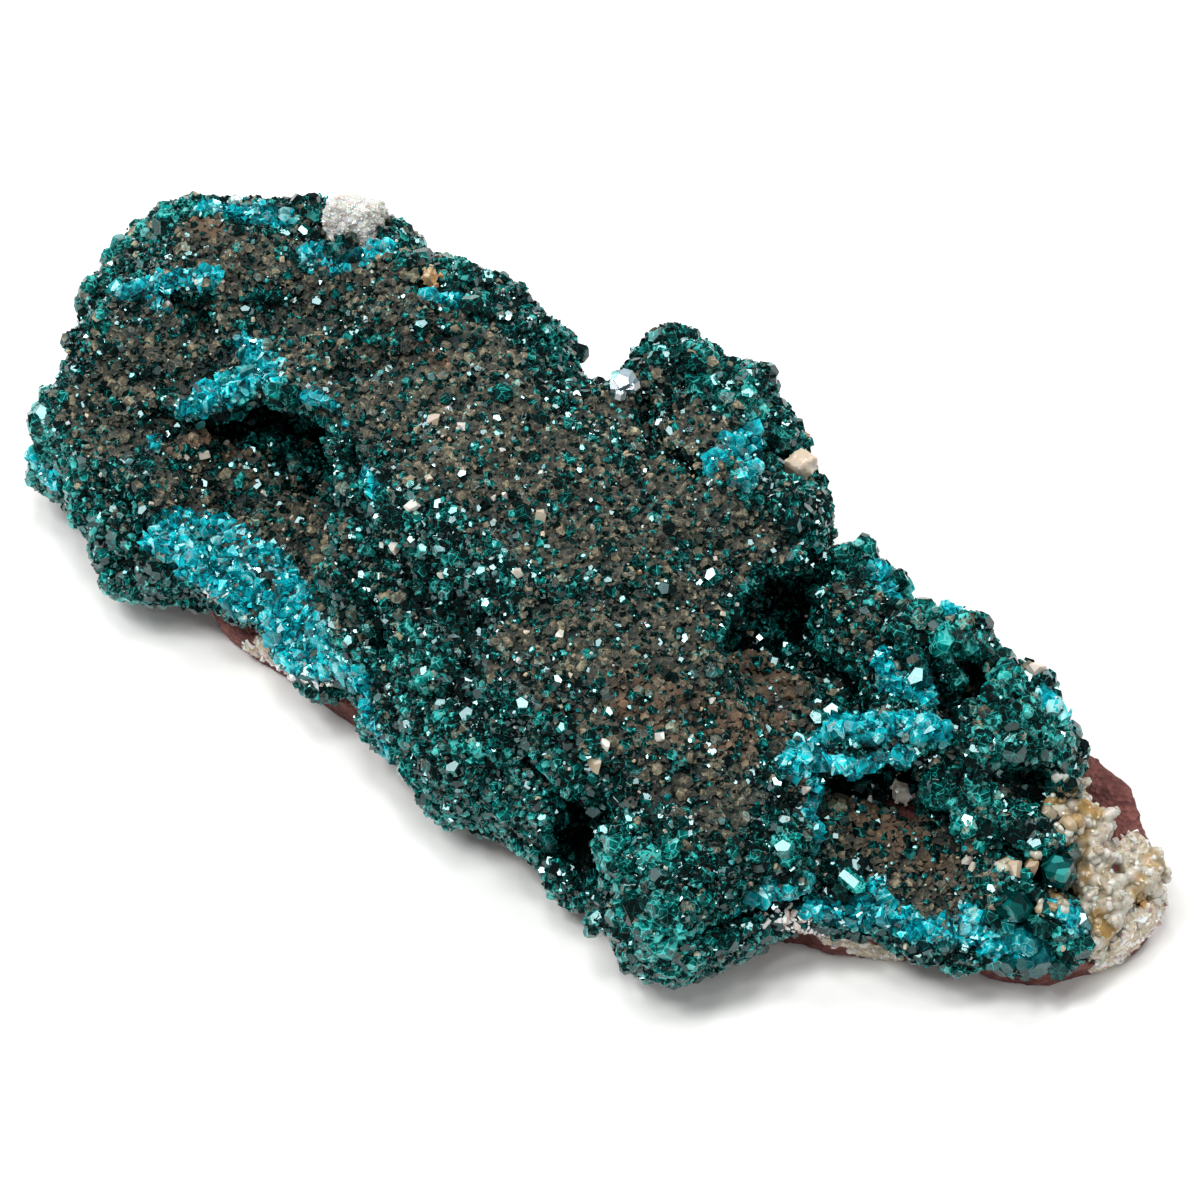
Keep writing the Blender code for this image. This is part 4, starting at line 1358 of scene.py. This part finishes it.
@dataclass
class CrustGround:
    """The body of the druse under its crystals, swollen into balls and clumps, with the cavities pushed in.

    Args:
        voxel_mm: The size of its faces.
        melt: Rounds of smoothing that soften the CAD's large crystals.
        inset_mm: How far it lies inside the CAD's surface, which the crystals' tips reach.
        ball_mm: The distance between two of the large swellings.
        ball_rise_mm: How high a swelling stands, where the druse is clean and where dust lies.
        clump_rise_mm: How high a small clump stands on them.
        cavity_mm: How deep the cavities are pushed in.
        crease_mm: How deep the creases between the balls are.
        lip_mm: How far a broken edge stands out.
    """

    voxel_mm: float = 0.4
    melt: int = 8
    inset_mm: float = 0.3
    ball_mm: float = 4.4
    ball_rise_mm: tuple[float, float] = (1.35, 1.0)
    clump_rise_mm: float = 0.55
    cavity_mm: float = 2.2
    crease_mm: float = 2.3
    lip_mm: float = 0.4

    def rough_mesh(self) -> bpy.types.Mesh:
        """The CAD's crust as an even, softened mesh."""
        return remeshed(merged_copy(CRUST), self.voxel_mm, self.melt)

    def shape(self, mesh: bpy.types.Mesh, zones: Zones) -> None:
        """Swells the mesh and pushes in its cavities.

        Args:
            mesh: The softened mesh, which is changed.
            zones: What the photograph shows where.
        """
        skin = Skin.of(mesh)
        points, normals = skin.points, skin.normals
        clean, dusty = self.ball_rise_mm
        rise = clean + (dusty - clean) * zones.dusted(points, normals)
        balls = pillows(points + 0.5 * billow(points, 2.0, 3.0)[:, None], self.ball_mm, 5.0)
        clumps = pillows(points, CLUMP_MM, CLUMP_SEED)
        height = -self.inset_mm + rise * (balls - 0.6) + self.clump_rise_mm * (clumps - 0.6)
        height += 0.2 * billow(points, 0.9, 7.0) + self.lip_mm * zones.broken.share(points)
        height -= self.cavity_mm * zones.cavity.share(points, 0.6)
        height -= self.crease_mm * zones.crease.share(points, 0.95)
        moved = points + normals * height[:, None]
        moved[:, 2] = np.maximum(moved[:, 2], 0.02)
        move_points(mesh, moved)

    def build(self, mesh: bpy.types.Mesh, zones: Zones, material: bpy.types.Material) -> bpy.types.Object:
        """Dresses the shaped mesh and makes the piece.

        Args:
            mesh: The shaped mesh.
            zones: What the photograph shows where.
            material: The druse's finish.

        Returns:
            The object, which replaces the CAD's crust.
        """
        skin = Skin.of(mesh)
        set_values(mesh, "POINT", {
            Value.TONE: np.clip(0.22 + 0.2 * billow(skin.points, 0.8, 2.0), 0.0, 1.0),
            Value.DUST: zones.dusted(skin.points, skin.normals) * 0.8,
            Value.BROKEN: zones.split(skin.points),
            # Painted shade: the ground between the crystals is darkened everywhere, and more in cavities,
            # creases and grooves
            Value.SHADE: np.clip(0.55 + zones.shaded(skin.points), 0.0, 0.97),
            Value.STAIN: zones.rust.share(skin.points),
        })
        mesh.shade_flat()
        return new_piece("druse_ground", mesh, material, (CRUST,))


@dataclass(frozen=True)
class CrystalSize:
    """One size of crystal in the druse.

    Args:
        name: The pieces' name, to which a number is added.
        template: The crystal's shape.
        cell_mm: The spacing.
        radii_mm: The smallest and the largest radius.
        lean: How far the crystals lean.
        sunk: How deep they sit, in radii.
        most: The most crystals that one piece holds.
        single: Whether they stand by themselves among the others, mostly clear of dust.
    """

    name: str
    template: Template
    cell_mm: float
    radii_mm: tuple[float, float]
    lean: float
    sunk: float
    most: int
    single: bool = False


@dataclass
class Druse:
    """The crystals that cover the crust, from the smallest grains to the gems that stand out.

    Args:
        lowest_mm: No crystal grows lower than this above the table.
        lowest_slope: No crystal grows on ground that faces down more steeply than this.
        dusty_share: The share of the crystals that dust covers where it lies thickest.
        candidates: How many places are tried.
        seed: The seed of chance.
    """

    lowest_mm: float = 0.45
    lowest_slope: float = -0.65
    dusty_share: float = 0.6
    candidates: int = 260000
    seed: int = 21
    rng: np.random.Generator = field(init=False)

    def __post_init__(self) -> None:
        """Seeds the source of chance."""
        self.rng = np.random.default_rng(self.seed)

    def sizes(self) -> tuple[CrystalSize, ...]:
        """The grains, the six-sided crystals and the gems that stand out among them."""
        return (
            CrystalSize("druse_grains", rhomb_shape(1.15), 0.53, (0.19, 0.34), 0.8, 0.1, 16000),
            CrystalSize("druse_crystals", prism_shape(1.0, DRUSE_RISE), 0.82, (0.32, 0.62), 0.75, 0.35, 7000),
            CrystalSize("druse_gems", prism_shape(1.1, DRUSE_RISE), 1.7, (0.45, 0.85), 0.7, 0.3, 7000, True),
        )

    def values_at(self, places: np.ndarray, normals: np.ndarray, zones: Zones) -> dict[Value, np.ndarray]:
        """What the crystals' material reads at each place.

        Args:
            places: Places in millimetres.
            normals: The ground's direction at each.
            zones: What the photograph shows where.

        Returns:
            The values by name.
        """
        count = len(places)
        chance = self.rng.random(count)
        dust = zones.dusted(places, normals)
        # The bright zone adds painted light along the outline as well as clearer crystals
        bright = zones.bright.share(places)
        # Ground that faces sideways or down: its crystals get painted light, as from the floor shining through
        # the thin rim, and less painted shade
        rim = step(0.4, -0.2, normals[:, 2])
        tone = 0.14 + 0.52 * self.rng.random(count) ** 1.3 + 0.2 * bright + 0.12 * billow(places, 2.4, 4.0)
        tone += 0.14 * rim - 0.1 * dust
        return {
            Value.TONE: np.clip(tone, 0.0, 1.0),
            Value.DUST: np.clip((self.dusty_share * dust - chance) * 2.4 + 0.5, 0.08 * dust, 1.0),
            Value.BROKEN: zones.split(places),
            # Painted shade, with less of it on the rim
            Value.SHADE: zones.shaded(places) * (1.0 - 0.5 * rim),
            Value.STAIN: zones.rust.share(places) * (0.15 + 0.7 * self.rng.random(count) ** 1.5),
        }

    def crop(self, places: np.ndarray, normals: np.ndarray, values: dict[Value, np.ndarray],
             radii: np.ndarray, lean: float, sunk: float) -> Crop:
        """Sets crystals on the ground.

        Args:
            places: Places on the ground in millimetres.
            normals: The ground's direction at each.
            values: What the material reads at each.
            radii: Each crystal's radius in millimetres.
            lean: How far they lean from the ground's direction.
            sunk: How deep their middles lie below the ground, in radii.

        Returns:
            The crystals.
        """
        axes = leaning(normals, lean, self.rng)
        depth = radii * (sunk + 0.7 * (self.rng.random(len(radii)) - 0.5))
        spread = 0.85 + 0.3 * self.rng.random((len(radii), 3))
        return Crop(places - axes * depth[:, None], turned(axes, self.rng), radii[:, None] * spread, values)

    def build(self, skin: Skin, zones: Zones, material: bpy.types.Material) -> list[bpy.types.Object]:
        """Grows the whole cover of crystals.

        Args:
            skin: The ground.
            zones: What the photograph shows where.
            material: The druse's finish.

        Returns:
            The pieces.
        """
        places, normals = skin.sown(self.candidates, self.rng)
        open_air = (normals[:, 2] > self.lowest_slope) & (places[:, 2] > self.lowest_mm)
        places, normals = places[open_air], normals[open_air]
        return [piece for kind in self.sizes() for piece in self.grow(kind, places, normals, zones, material)]

    def grow(self, kind: CrystalSize, places: np.ndarray, normals: np.ndarray, zones: Zones,
             material: bpy.types.Material) -> list[bpy.types.Object]:
        """Grows one size of crystal, in as many pieces as its number asks for.

        Args:
            kind: The size of crystal.
            places: Places on the ground to choose from, in millimetres.
            normals: The ground's direction at each.
            zones: What the photograph shows where.
            material: The druse's finish.

        Returns:
            The pieces.
        """
        order = self.rng.permutation(len(places))
        chosen = order[one_to_a_cell(places[order], kind.cell_mm)]
        places, normals = places[chosen], normals[chosen]
        values = self.values_at(places, normals, zones)
        low, high = kind.radii_mm
        size = low + (high - low) * self.rng.random(len(places)) ** 1.7
        coarse = zones.coarse.share(places)
        size *= 1.0 - 0.12 * zones.dusted(places, normals) + 0.3 * coarse
        if kind.single:
            keep = self.rng.random(len(places)) > 0.3 + 0.45 * zones.dust.share(places) - 0.3 * coarse
            values[Value.DUST] *= 0.45
        else:
            keep = values[Value.BROKEN] < 0.55 + 0.3 * self.rng.random(len(places))
        keep &= (zones.white.share(places) < 0.5) & (zones.calcite.share(places) < 0.5)
        crop = self.crop(places, normals, values, size, kind.lean, kind.sunk).picked(keep)
        crop = crop.picked(np.argsort(crop.places[:, 0], kind="stable"))
        parts = math.ceil(len(crop) / kind.most)
        made = []
        for number, share in enumerate(np.array_split(np.arange(len(crop)), parts), 1):
            name = f"{kind.name}_{number}"
            mesh = planted(name, kind.template, crop.picked(share), self.rng)
            made.append(new_piece(name, mesh, material))
        return made


@dataclass
class BrokenEdges:
    """The bright blue-green splinters where the crust broke off."""

    cell_mm: float = 0.38
    radii_mm: tuple[float, float] = (0.18, 0.72)
    candidates: int = 160000
    seed: int = 33

    def build(self, skin: Skin, zones: Zones, material: bpy.types.Material) -> bpy.types.Object:
        """Sets splinters along the broken edges.

        Args:
            skin: The ground.
            zones: What the photograph shows where.
            material: The druse's finish.

        Returns:
            The piece.
        """
        rng = np.random.default_rng(self.seed)
        places, normals = skin.sown(self.candidates, rng)
        inside = zones.split(places) > 0.35 + 0.45 * rng.random(len(places))
        places, normals = places[inside], normals[inside]
        chosen = one_to_a_cell(places, self.cell_mm)
        places, normals = places[chosen], normals[chosen]
        low, high = self.radii_mm
        size = low + (high - low) * rng.random(len(places)) ** 2.6
        axes = leaning(normals, 1.3, rng)
        spread = 0.6 + 0.8 * rng.random((len(places), 3))
        crop = Crop(places - axes * 0.25 * size[:, None], turned(axes, rng), size[:, None] * spread, {
            Value.TONE: 0.1 + 0.62 * rng.random(len(places)),
            Value.BROKEN: np.ones(len(places)),
            # Painted shade, weaker than on the crystals
            Value.SHADE: 0.6 * zones.shaded(places),
        })
        mesh = planted("broken_edges", shard_shape(), crop, rng, face_spread=0.75)
        return new_piece("broken_edges", mesh, material)


@dataclass
class SandstoneBase:
    """The broken sandstone that carries the druse, flat underneath."""

    voxel_mm: float = 0.42
    melt: int = 3
    hump_mm: float = 0.35
    grit_mm: float = 0.12
    coat_rise_mm: float = 0.35

    def rough_mesh(self) -> bpy.types.Mesh:
        """The CAD's rock as an even, softened mesh."""
        return remeshed(merged_copy(ROCK), self.voxel_mm, self.melt)

    def build(self, mesh: bpy.types.Mesh, zones: Zones, material: bpy.types.Material) -> bpy.types.Object:
        """Roughens the rock, coats it and makes the piece.

        Args:
            mesh: The softened mesh, which is changed.
            zones: What the photograph shows where.
            material: The stone's finish.

        Returns:
            The object, which replaces the CAD's rock.
        """
        skin = Skin.of(mesh)
        points, normals = skin.points, skin.normals
        coat = zones.white.share(points, 0.5)
        free = step(0.05, 0.8, points[:, 2])
        height = self.hump_mm * billow(points, 3.0, 1.0) + self.grit_mm * billow(points, 0.7, 9.0)
        height += coat * self.coat_rise_mm * pillows(points, 1.3, 6.0) - 0.1
        moved = points + normals * (height * free)[:, None]
        moved[:, 2] = np.maximum(moved[:, 2], 0.0)
        move_points(mesh, moved)
        set_values(mesh, "POINT", {Value.COAT: coat, Value.STAIN: 0.8 * zones.ochre.share(points)})
        mesh.shade_smooth()
        return new_piece("sandstone_base", mesh, material, (ROCK,))


@dataclass
class PaleStones:
    """The calcite by the tip, the white crust there, the quartz knob and the stray pale grains."""

    voxel_mm: float = 0.22
    seed: int = 45
    rng: np.random.Generator = field(init=False)

    def __post_init__(self) -> None:
        """Seeds the source of chance."""
        self.rng = np.random.default_rng(self.seed)

    def stone(self, node: str, name: str, slot: Slot, material: bpy.types.Material, tone: float,
              grit: float, inset: float, melt: int, zones: Zones, stain: float = 0.0,
              glossy: bool = False) -> bpy.types.Object:
        """Dresses one CAD stone: softened corners and a granular face.

        Args:
            node: The CAD node.
            name: The piece's name.
            slot: The record's material slot, which is not used.
            material: Its finish.
            tone: How white it is.
            grit: How rough its face is, in millimetres.
            inset: How far it lies inside the CAD's stone, in millimetres.
            melt: Rounds of smoothing that round off its corners.
            zones: What the photograph shows where.
            stain: How ochre its blotches are.
            glossy: Whether it grows in smooth round lumps with painted light on top, painted shade in creases,
                few blotches.

        Returns:
            The object, which replaces the node.
        """
        mesh = remeshed(merged_copy(node), self.voxel_mm, melt)
        skin = Skin.of(mesh)
        lumps = pillows(skin.points, 1.05 if glossy else 0.9, 8.0)
        fine = 0.1 if glossy else grit
        bumps = grit * (lumps - 0.5) + 0.3 * fine * billow(skin.points, 0.35, 5.0) - inset
        move_points(mesh, skin.points + skin.normals * bumps[:, None])
        # On glossy stones the lumps' tops get painted light and their creases painted shade
        whiteness_and_painted_light = tone + 0.2 * billow(skin.points, 1.2, 12.0) + (0.6 * (lumps - 0.5) if glossy else 0.0)
        if glossy:
            blotches = step(0.0, 0.5, billow(skin.points, 1.5, 21.0))
        else:
            blotches = 0.5 + 0.8 * billow(skin.points, 0.8, 21.0)
        set_values(mesh, "POINT", {
            Value.TONE: np.clip(whiteness_and_painted_light, 0.0, 1.0),
            Value.STAIN: np.clip(zones.ochre.share(skin.points) + stain * blotches, 0.0, 1.0),
        })
        if glossy:
            mesh.shade_smooth()
        else:
            mesh.shade_flat()
        return new_piece(name, mesh, material, (node,))

    def grains(self, name: str, skin: Skin, zone: Zone | None, zones: Zones, cell: float,
               radii: tuple[float, float], tones: tuple[float, float], slot: Slot,
               material: bpy.types.Material, template: Template, rounded: bool = False) -> bpy.types.Object:
        """Covers a zone with grains.

        Args:
            name: The piece's name.
            skin: The surface that they grow on.
            zone: Where they grow, or None for the whole surface.
            zones: What the photograph shows where.
            cell: Their spacing in millimetres.
            radii: The smallest and the largest radius in millimetres.
            tones: The darkest and the lightest tone.
            slot: The record's material slot, which is not used.
            material: Their finish.
            template: The shape of one grain.
            rounded: Whether its edges are soft.

        Returns:
            The piece.
        """
        places, normals = skin.sown(150000, self.rng)
        inside = places[:, 2] > radii[1]
        if zone:
            inside &= zone.share(places, 0.3) > self.rng.random(len(places))
        places, normals = places[inside], normals[inside]
        chosen = one_to_a_cell(places, cell)
        places, normals = places[chosen], normals[chosen]
        count = len(places)
        size = radii[0] + (radii[1] - radii[0]) * self.rng.random(count) ** 1.8
        axes = leaning(normals, 1.2, self.rng)
        spread = 0.65 + 0.7 * self.rng.random((count, 3))
        crop = Crop(places - axes * 0.3 * size[:, None], turned(axes, self.rng), size[:, None] * spread, {
            Value.TONE: tones[0] + (tones[1] - tones[0]) * self.rng.random(count),
            Value.STAIN: zones.ochre.share(places) * self.rng.random(count),
        })
        mesh = planted(name, template, crop, self.rng, face_spread=0.35, rounded=rounded)
        return new_piece(name, mesh, material)

    def crystals(self, node: str, name: str, material: bpy.types.Material, eye: Vector,
                 lamp: Vector) -> bpy.types.Object:
        """Stands clear quartz crystals where the CAD has one plain one.

        Args:
            node: The CAD node.
            name: The piece's name.
            material: Their finish.
            eye: Where the camera stands, in millimetres.
            lamp: Where the lamp stands that they throw back.

        Returns:
            The object, which replaces the node.
        """
        low, high = (np.array(corner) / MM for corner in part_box(node))
        offsets = np.array(((0.0, 0.0, 0.3), (0.5, 0.24, 0.0), (-0.4, -0.44, 0.0), (0.2, -0.56, -0.2)))
        sizes = np.array((0.84, 0.58, 0.62, 0.48))
        places = (low + high) / 2 + offsets
        turns = glinting(places, QUARTZ_RISE, eye, lamp, self.rng)
        tones = 0.45 + 0.25 * self.rng.random(len(places))
        crop = Crop(places, turns, sizes[:, None] * np.ones(3), {Value.TONE: tones})
        mesh = planted(name, prism_shape(1.0, QUARTZ_RISE), crop, self.rng, face_spread=1.3)
        return new_piece(name, mesh, material, (node,))

    def strays(self, skin: Skin, photo: Photo, zones: Zones,
               material: bpy.types.Material) -> bpy.types.Object:
        """Scatters single pale grains over the druse, with the ones that the photograph picks out.

        Args:
            skin: The ground.
            photo: Sets pixels on the surface.
            zones: What the photograph shows where.
            material: Their finish.

        Returns:
            The piece.
        """
        places, normals = skin.sown(9000, self.rng)
        share = 0.02 + 0.08 * zones.dust.share(places)
        wanted = (normals[:, 2] > 0.0) & (self.rng.random(len(places)) < share)
        places, normals = places[wanted], normals[wanted]
        size = 0.08 + 0.2 * self.rng.random(len(places)) ** 2.5
        named = [(photo.place(s.pixel), s.width / PIXELS_PER_MM / 2, s.tone) for s in PALE_SPOTS]
        named = [(hit, radius, tone) for hit, radius, tone in named if hit]
        places = np.vstack((places, [hit[0] for hit, _, _ in named]))
        normals = np.vstack((normals, [hit[1] for hit, _, _ in named]))
        size = np.concatenate((size, [radius for _, radius, _ in named]))
        count = len(places)
        tone = self.rng.random(count) ** 0.7
        tone[count - len(named):] = [own_tone for _, _, own_tone in named]
        axes = leaning(normals, 1.0, self.rng)
        lifted = places + normals * (0.3 + 0.15 * size)[:, None]
        spread = 0.7 + 0.5 * self.rng.random((count, 3))
        crop = Crop(lifted, turned(axes, self.rng), size[:, None] * spread, {
            Value.TONE: tone,
            Value.STAIN: 0.25 * self.rng.random(count),
        })
        mesh = planted("stray_grains", shard_shape(), crop, self.rng, face_spread=0.3)
        return new_piece("stray_grains", mesh, material)


@dataclass
class Gems:
    """The single crystals that stand out: the prisms by the tip, the dark, the glinting and the long ones.

    Args:
        lamp: Where the lamp stands whose light the glinting ones throw back, in millimetres.
        tiny_crystals: How many places are tried for the tiny ones that sparkle.
        lift_mm: How far the single ones stand out of the ground.
        tiny_lift_mm: How far the tiny ones do.
        seed: The seed of chance.
    """

    lamp: Vector
    tiny_crystals: int = 3200
    lift_mm: float = 0.15
    tiny_lift_mm: float = 0.34
    seed: int = 57

    def spots(self, name: str, spots: tuple[Spot, ...], photo: Photo, material: bpy.types.Material,
              tone: float, glints: bool = False) -> bpy.types.Object:
        """Sets one crystal on each spot.

        Args:
            name: The piece's name.
            spots: The crystals' places and widths on the photograph.
            photo: Sets pixels on the surface.
            material: Their finish.
            tone: How bright they are.
            glints: Whether each throws a lamp's light at the camera.

        Returns:
            The piece.
        """
        rng = np.random.default_rng(self.seed + len(spots))
        hits = [(photo.place(s.pixel), s.width / PIXELS_PER_MM / 2) for s in spots]
        hits = [(hit, radius) for hit, radius in hits if hit]
        places = np.array([hit[0] for hit, _ in hits])
        normals = np.array([hit[1] for hit, _ in hits])
        size = np.array([radius for _, radius in hits])
        axes = leaning(unit(normals + 0.3 * np.array(photo.view.axes()[2])), 0.5, rng)
        if glints:
            turns = glinting(places, GEM_RISE, photo.view.eye(), self.lamp, rng)
        else:
            turns = turned(axes, rng)
        crop = Crop(places + normals * self.lift_mm, turns, size[:, None] * np.ones(3), {
            Value.TONE: np.full(len(hits), tone)})
        mesh = planted(name, prism_shape(0.8, GEM_RISE), crop, rng, face_spread=0.4)
        return new_piece(name, mesh, material)

    def sparkles(self, skin: Skin, photo: Photo, zones: Zones,
                 material: bpy.types.Material) -> bpy.types.Object:
        """Scatters the tiny crystals that sparkle over the whole druse.

        Args:
            skin: The ground.
            photo: Knows where the camera stands.
            zones: What the photograph shows where.
            material: Their finish.

        Returns:
            The piece.
        """
        rng = np.random.default_rng(self.seed + 1)
        places, normals = skin.sown(self.tiny_crystals, rng)
        clear = (normals[:, 2] > 0.15) & (zones.shaded(places) < 0.45)
        places, normals = places[clear], normals[clear]
        count = len(places)
        size = 0.08 + 0.2 * rng.random(count) ** 2.2
        turns = glinting(places, DRUSE_RISE, photo.view.eye(), self.lamp, rng, stray=0.03)
        spread = 0.7 + 0.6 * rng.random((count, 3))
        crop = Crop(places + normals * self.tiny_lift_mm, turns, size[:, None] * spread, {
            Value.TONE: 0.4 + 0.4 * rng.random(count),
            Value.BROKEN: 0.3 * rng.random(count),
        })
        mesh = planted("sparkling_crystals", prism_shape(0.9, DRUSE_RISE), crop, rng, face_spread=0.3)
        return new_piece("sparkling_crystals", mesh, material)

    def lying(self, photo: Photo, material: bpy.types.Material) -> bpy.types.Object:
        """Lays the long crystal in the right hollow, with its side to the light.

        Args:
            photo: Sets pixels on the surface.
            material: Its finish.

        Returns:
            The piece.
        """
        start, end = (photo.place(p)[0] for p in LONG_GEM)
        length, radius = (end - start).length, LONG_GEM_MM / 2
        middle = (start + end) / 2 + photo.view.axes()[2] * (radius + 0.6)
        face = half_way(middle, photo.view.eye(), self.lamp)
        along = end - start
        along = (along - face * along.dot(face)).normalized()
        turn = np.array([[*face], [*along.cross(face)], [*along]]).T
        crop = Crop(np.array([middle]), turn[None], np.array([[radius, radius, length / 2.6]]), {
            Value.TONE: np.array([0.7])})
        rng = np.random.default_rng(self.seed)
        mesh = planted("long_gem", prism_shape(0.8, GEM_RISE), crop, rng, face_spread=0.4, foot_shade=0.0)
        return new_piece("long_gem", mesh, material)

    def dress_prisms(self, material: bpy.types.Material) -> None:
        """Gives the CAD's own prisms their clear finish."""
        for name in PRISMS:
            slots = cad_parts[name].material_slots
            slots[0].material = material
            LOG.info("%s: kept, in %s", name, material.name)


@dataclass
class Softbox:
    """One square lamp.

    Args:
        name: Its name.
        direction: Where it stands from the specimen: degrees round it from the front, and above the table.
        away_mm: How far away it stands.
        side_mm: Its side.
        radiance: How bright its face is, where 1 is the white of the picture.
    """

    name: str
    direction: tuple[float, float]
    away_mm: float
    side_mm: float
    radiance: float

    def place(self) -> Vector:
        """Where it stands, in millimetres."""
        return heading(*self.direction) * self.away_mm

    def build(self) -> bpy.types.Object:
        """Adds the lamp, turned to the specimen."""
        lamp = bpy.data.lights.new(self.name, "AREA")
        lamp.shape = "SQUARE"
        lamp.size = self.side_mm * MM
        lamp.energy = self.radiance * math.pi * lamp.size ** 2
        holder = bpy.data.objects.new(self.name, lamp)
        holder.location = self.place() * MM
        holder.rotation_mode = "QUATERNION"
        holder.rotation_quaternion = self.place().to_track_quat("Z", "Y")
        bpy.context.scene.collection.objects.link(holder)
        return holder


@dataclass
class Studio:
    """A white floor, a dim white room, four soft lamps and a ring of small ones.

    Args:
        floor_mm: The floor's side.
        floor_gap_mm: How far the floor lies below the specimen.
        room: How bright the room is.
        lamps: The soft lamps. The first is the one that the glinting crystals throw back.
        ring_lamps: How many small lamps stand in the ring.
        ring_lifts: Their heights in degrees, taken in turn.
        ring_away_mm: How far away they stand.
        ring_side_mm: Their side.
        ring_radiance: How bright their faces are.
    """

    floor_mm: float = 3000.0
    floor_gap_mm: float = 0.02
    room: float = 0.12
    lamps: tuple[Softbox, ...] = (
        Softbox("key_lamp", (-25.0, 62.0), 600.0, 160.0, 16.0),
        Softbox("rim_lamp", (165.0, 48.0), 650.0, 150.0, 14.0),
        Softbox("broad_panel", (-80.0, 50.0), 650.0, 300.0, 3.2),
        Softbox("top_lamp", (10.0, 85.0), 800.0, 210.0, 13.0),
    )
    ring_lamps: int = 11
    ring_lifts: tuple[float, ...] = (38.0, 66.0, 52.0)
    ring_away_mm: float = 620.0
    ring_side_mm: float = 55.0
    ring_radiance: float = 30.0

    def ring(self) -> list[Softbox]:
        """The small lamps that stand round the specimen and light its glints."""
        ways = [(360.0 * k / self.ring_lamps, self.ring_lifts[k % 3]) for k in range(self.ring_lamps)]
        return [Softbox(f"ring_lamp_{k}", way, self.ring_away_mm, self.ring_side_mm, self.ring_radiance)
                for k, way in enumerate(ways)]

    def build(self) -> None:
        """Adds the floor, the room's light and the lamps."""
        shape = bmesh.new()
        bmesh.ops.create_grid(shape, x_segments=1, y_segments=1, size=self.floor_mm * MM / 2)
        bmesh.ops.translate(shape, verts=shape.verts, vec=(0.0, 0.0, -self.floor_gap_mm * MM))
        mesh = bpy.data.meshes.new("floor")
        shape.to_mesh(mesh)
        shape.free()
        mesh.materials.append(FloorFinish().material())
        floor = bpy.data.objects.new("floor", mesh)
        bpy.context.scene.collection.objects.link(floor)
        world = bpy.data.worlds.new("room")
        world.use_nodes = True
        background = world.node_tree.nodes["Background"]
        background.inputs["Color"].default_value = (1.0, 1.0, 1.0, 1.0)
        background.inputs["Strength"].default_value = self.room
        bpy.context.scene.world = world
        for lamp in (*self.lamps, *self.ring()):
            lamp.build()
        bpy.context.scene.view_settings.view_transform = "Standard"


def main() -> None:
    """Builds the specimen's parts in order."""
    view = PhotoView()
    view.make_camera()
    studio = Studio()
    studio.build()
    lamp = studio.lamps[0].place()

    crust, rock = CrustGround(), SandstoneBase()
    crust_mesh, rock_mesh = crust.rough_mesh(), rock.rough_mesh()
    stones = (CALCITE_DRUSE, QUARTZ_KNOB, CLEAR_QUARTZ, *SINGLE_CALCITES, *PRISMS)
    whole = Skin.of(crust_mesh).joined(Skin.of(rock_mesh))
    for node in stones:
        whole = whole.joined(Skin.of(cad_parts[node].data))
    zones = Zones(Photo(view, whole))
    LOG.info("zones followed")

    druse_finish = DioptaseFinish().material()
    pale_finish = PaleFinish().material()
    crust.shape(crust_mesh, zones)
    zones.relief = Relief(crust_mesh)
    crust.build(crust_mesh, zones, druse_finish)
    crust_skin = Skin.of(crust_mesh)
    rock.build(rock_mesh, zones, StoneFinish().material())
    rock_skin = Skin.of(rock_mesh)
    Druse().build(crust_skin, zones, druse_finish)
    BrokenEdges().build(crust_skin, zones, druse_finish)

    photo = Photo(view, crust_skin.joined(rock_skin))
    pale = PaleStones()
    calcite_finish = CALCITE_FINISH.material()
    milky_finish = MILKY_QUARTZ_FINISH.material()
    mass = pale.stone(CALCITE_DRUSE, "calcite_mass", Slot.CALCITE, calcite_finish, tone=0.52, grit=0.8,
                      inset=0.05, melt=5, zones=zones, stain=0.8, glossy=True)
    pale.grains("calcite_blobs", Skin.of(mass.data), None, zones, cell=0.9, radii=(0.15, 0.5),
                tones=(0.5, 1.0), slot=Slot.CALCITE, material=calcite_finish, template=pebble_shape(),
                rounded=True)
    knob = pale.stone(QUARTZ_KNOB, "quartz_knob_grown", Slot.QUARTZ, milky_finish, tone=0.55, grit=0.5,
                      inset=0.0, melt=60, zones=zones)
    pale.grains("quartz_knob_grains", Skin.of(knob.data), None, zones, cell=0.3, radii=(0.08, 0.22),
                tones=(0.45, 0.9), slot=Slot.QUARTZ, material=milky_finish, template=shard_shape())
    pale.crystals(CLEAR_QUARTZ, "clear_quartz_crystals", CLEAR_QUARTZ_FINISH.material(), view.eye(), lamp)
    for node, (tone, stain, inset) in SINGLE_CALCITES.items():
        pale.stone(node, f"{node}_grown", Slot.CALCITE, pale_finish, tone=tone, grit=0.12, inset=inset,
                   melt=9, zones=zones, stain=stain)
    both = rock_skin.joined(crust_skin)
    pale.grains("white_crust", both, zones.white, zones, cell=0.34, radii=(0.1, 0.34), tones=(0.1, 1.0),
                slot=Slot.CALCITE, material=WHITE_CRUST_FINISH.material(), template=shard_shape())
    pale.grains("calcite_grains", both, zones.calcite, zones, cell=0.55, radii=(0.3, 0.8), tones=(0.1, 1.0),
                slot=Slot.CALCITE, material=calcite_finish, template=pebble_shape(), rounded=True)
    pale.strays(crust_skin, photo, zones, pale_finish)
    gems = Gems(lamp)
    gems.spots("dark_gems", DARK_GEMS, photo, druse_finish, 0.3)
    gems.spots("glinting_gems", GLINTS, photo, druse_finish, 0.7, glints=True)
    gems.sparkles(crust_skin, photo, zones, druse_finish)
    gems.lying(photo, druse_finish)
    gems.dress_prisms(GemFinish().material())


if __name__ == "__main__":
    logging.basicConfig(level=logging.INFO, format="%(message)s")
    main()
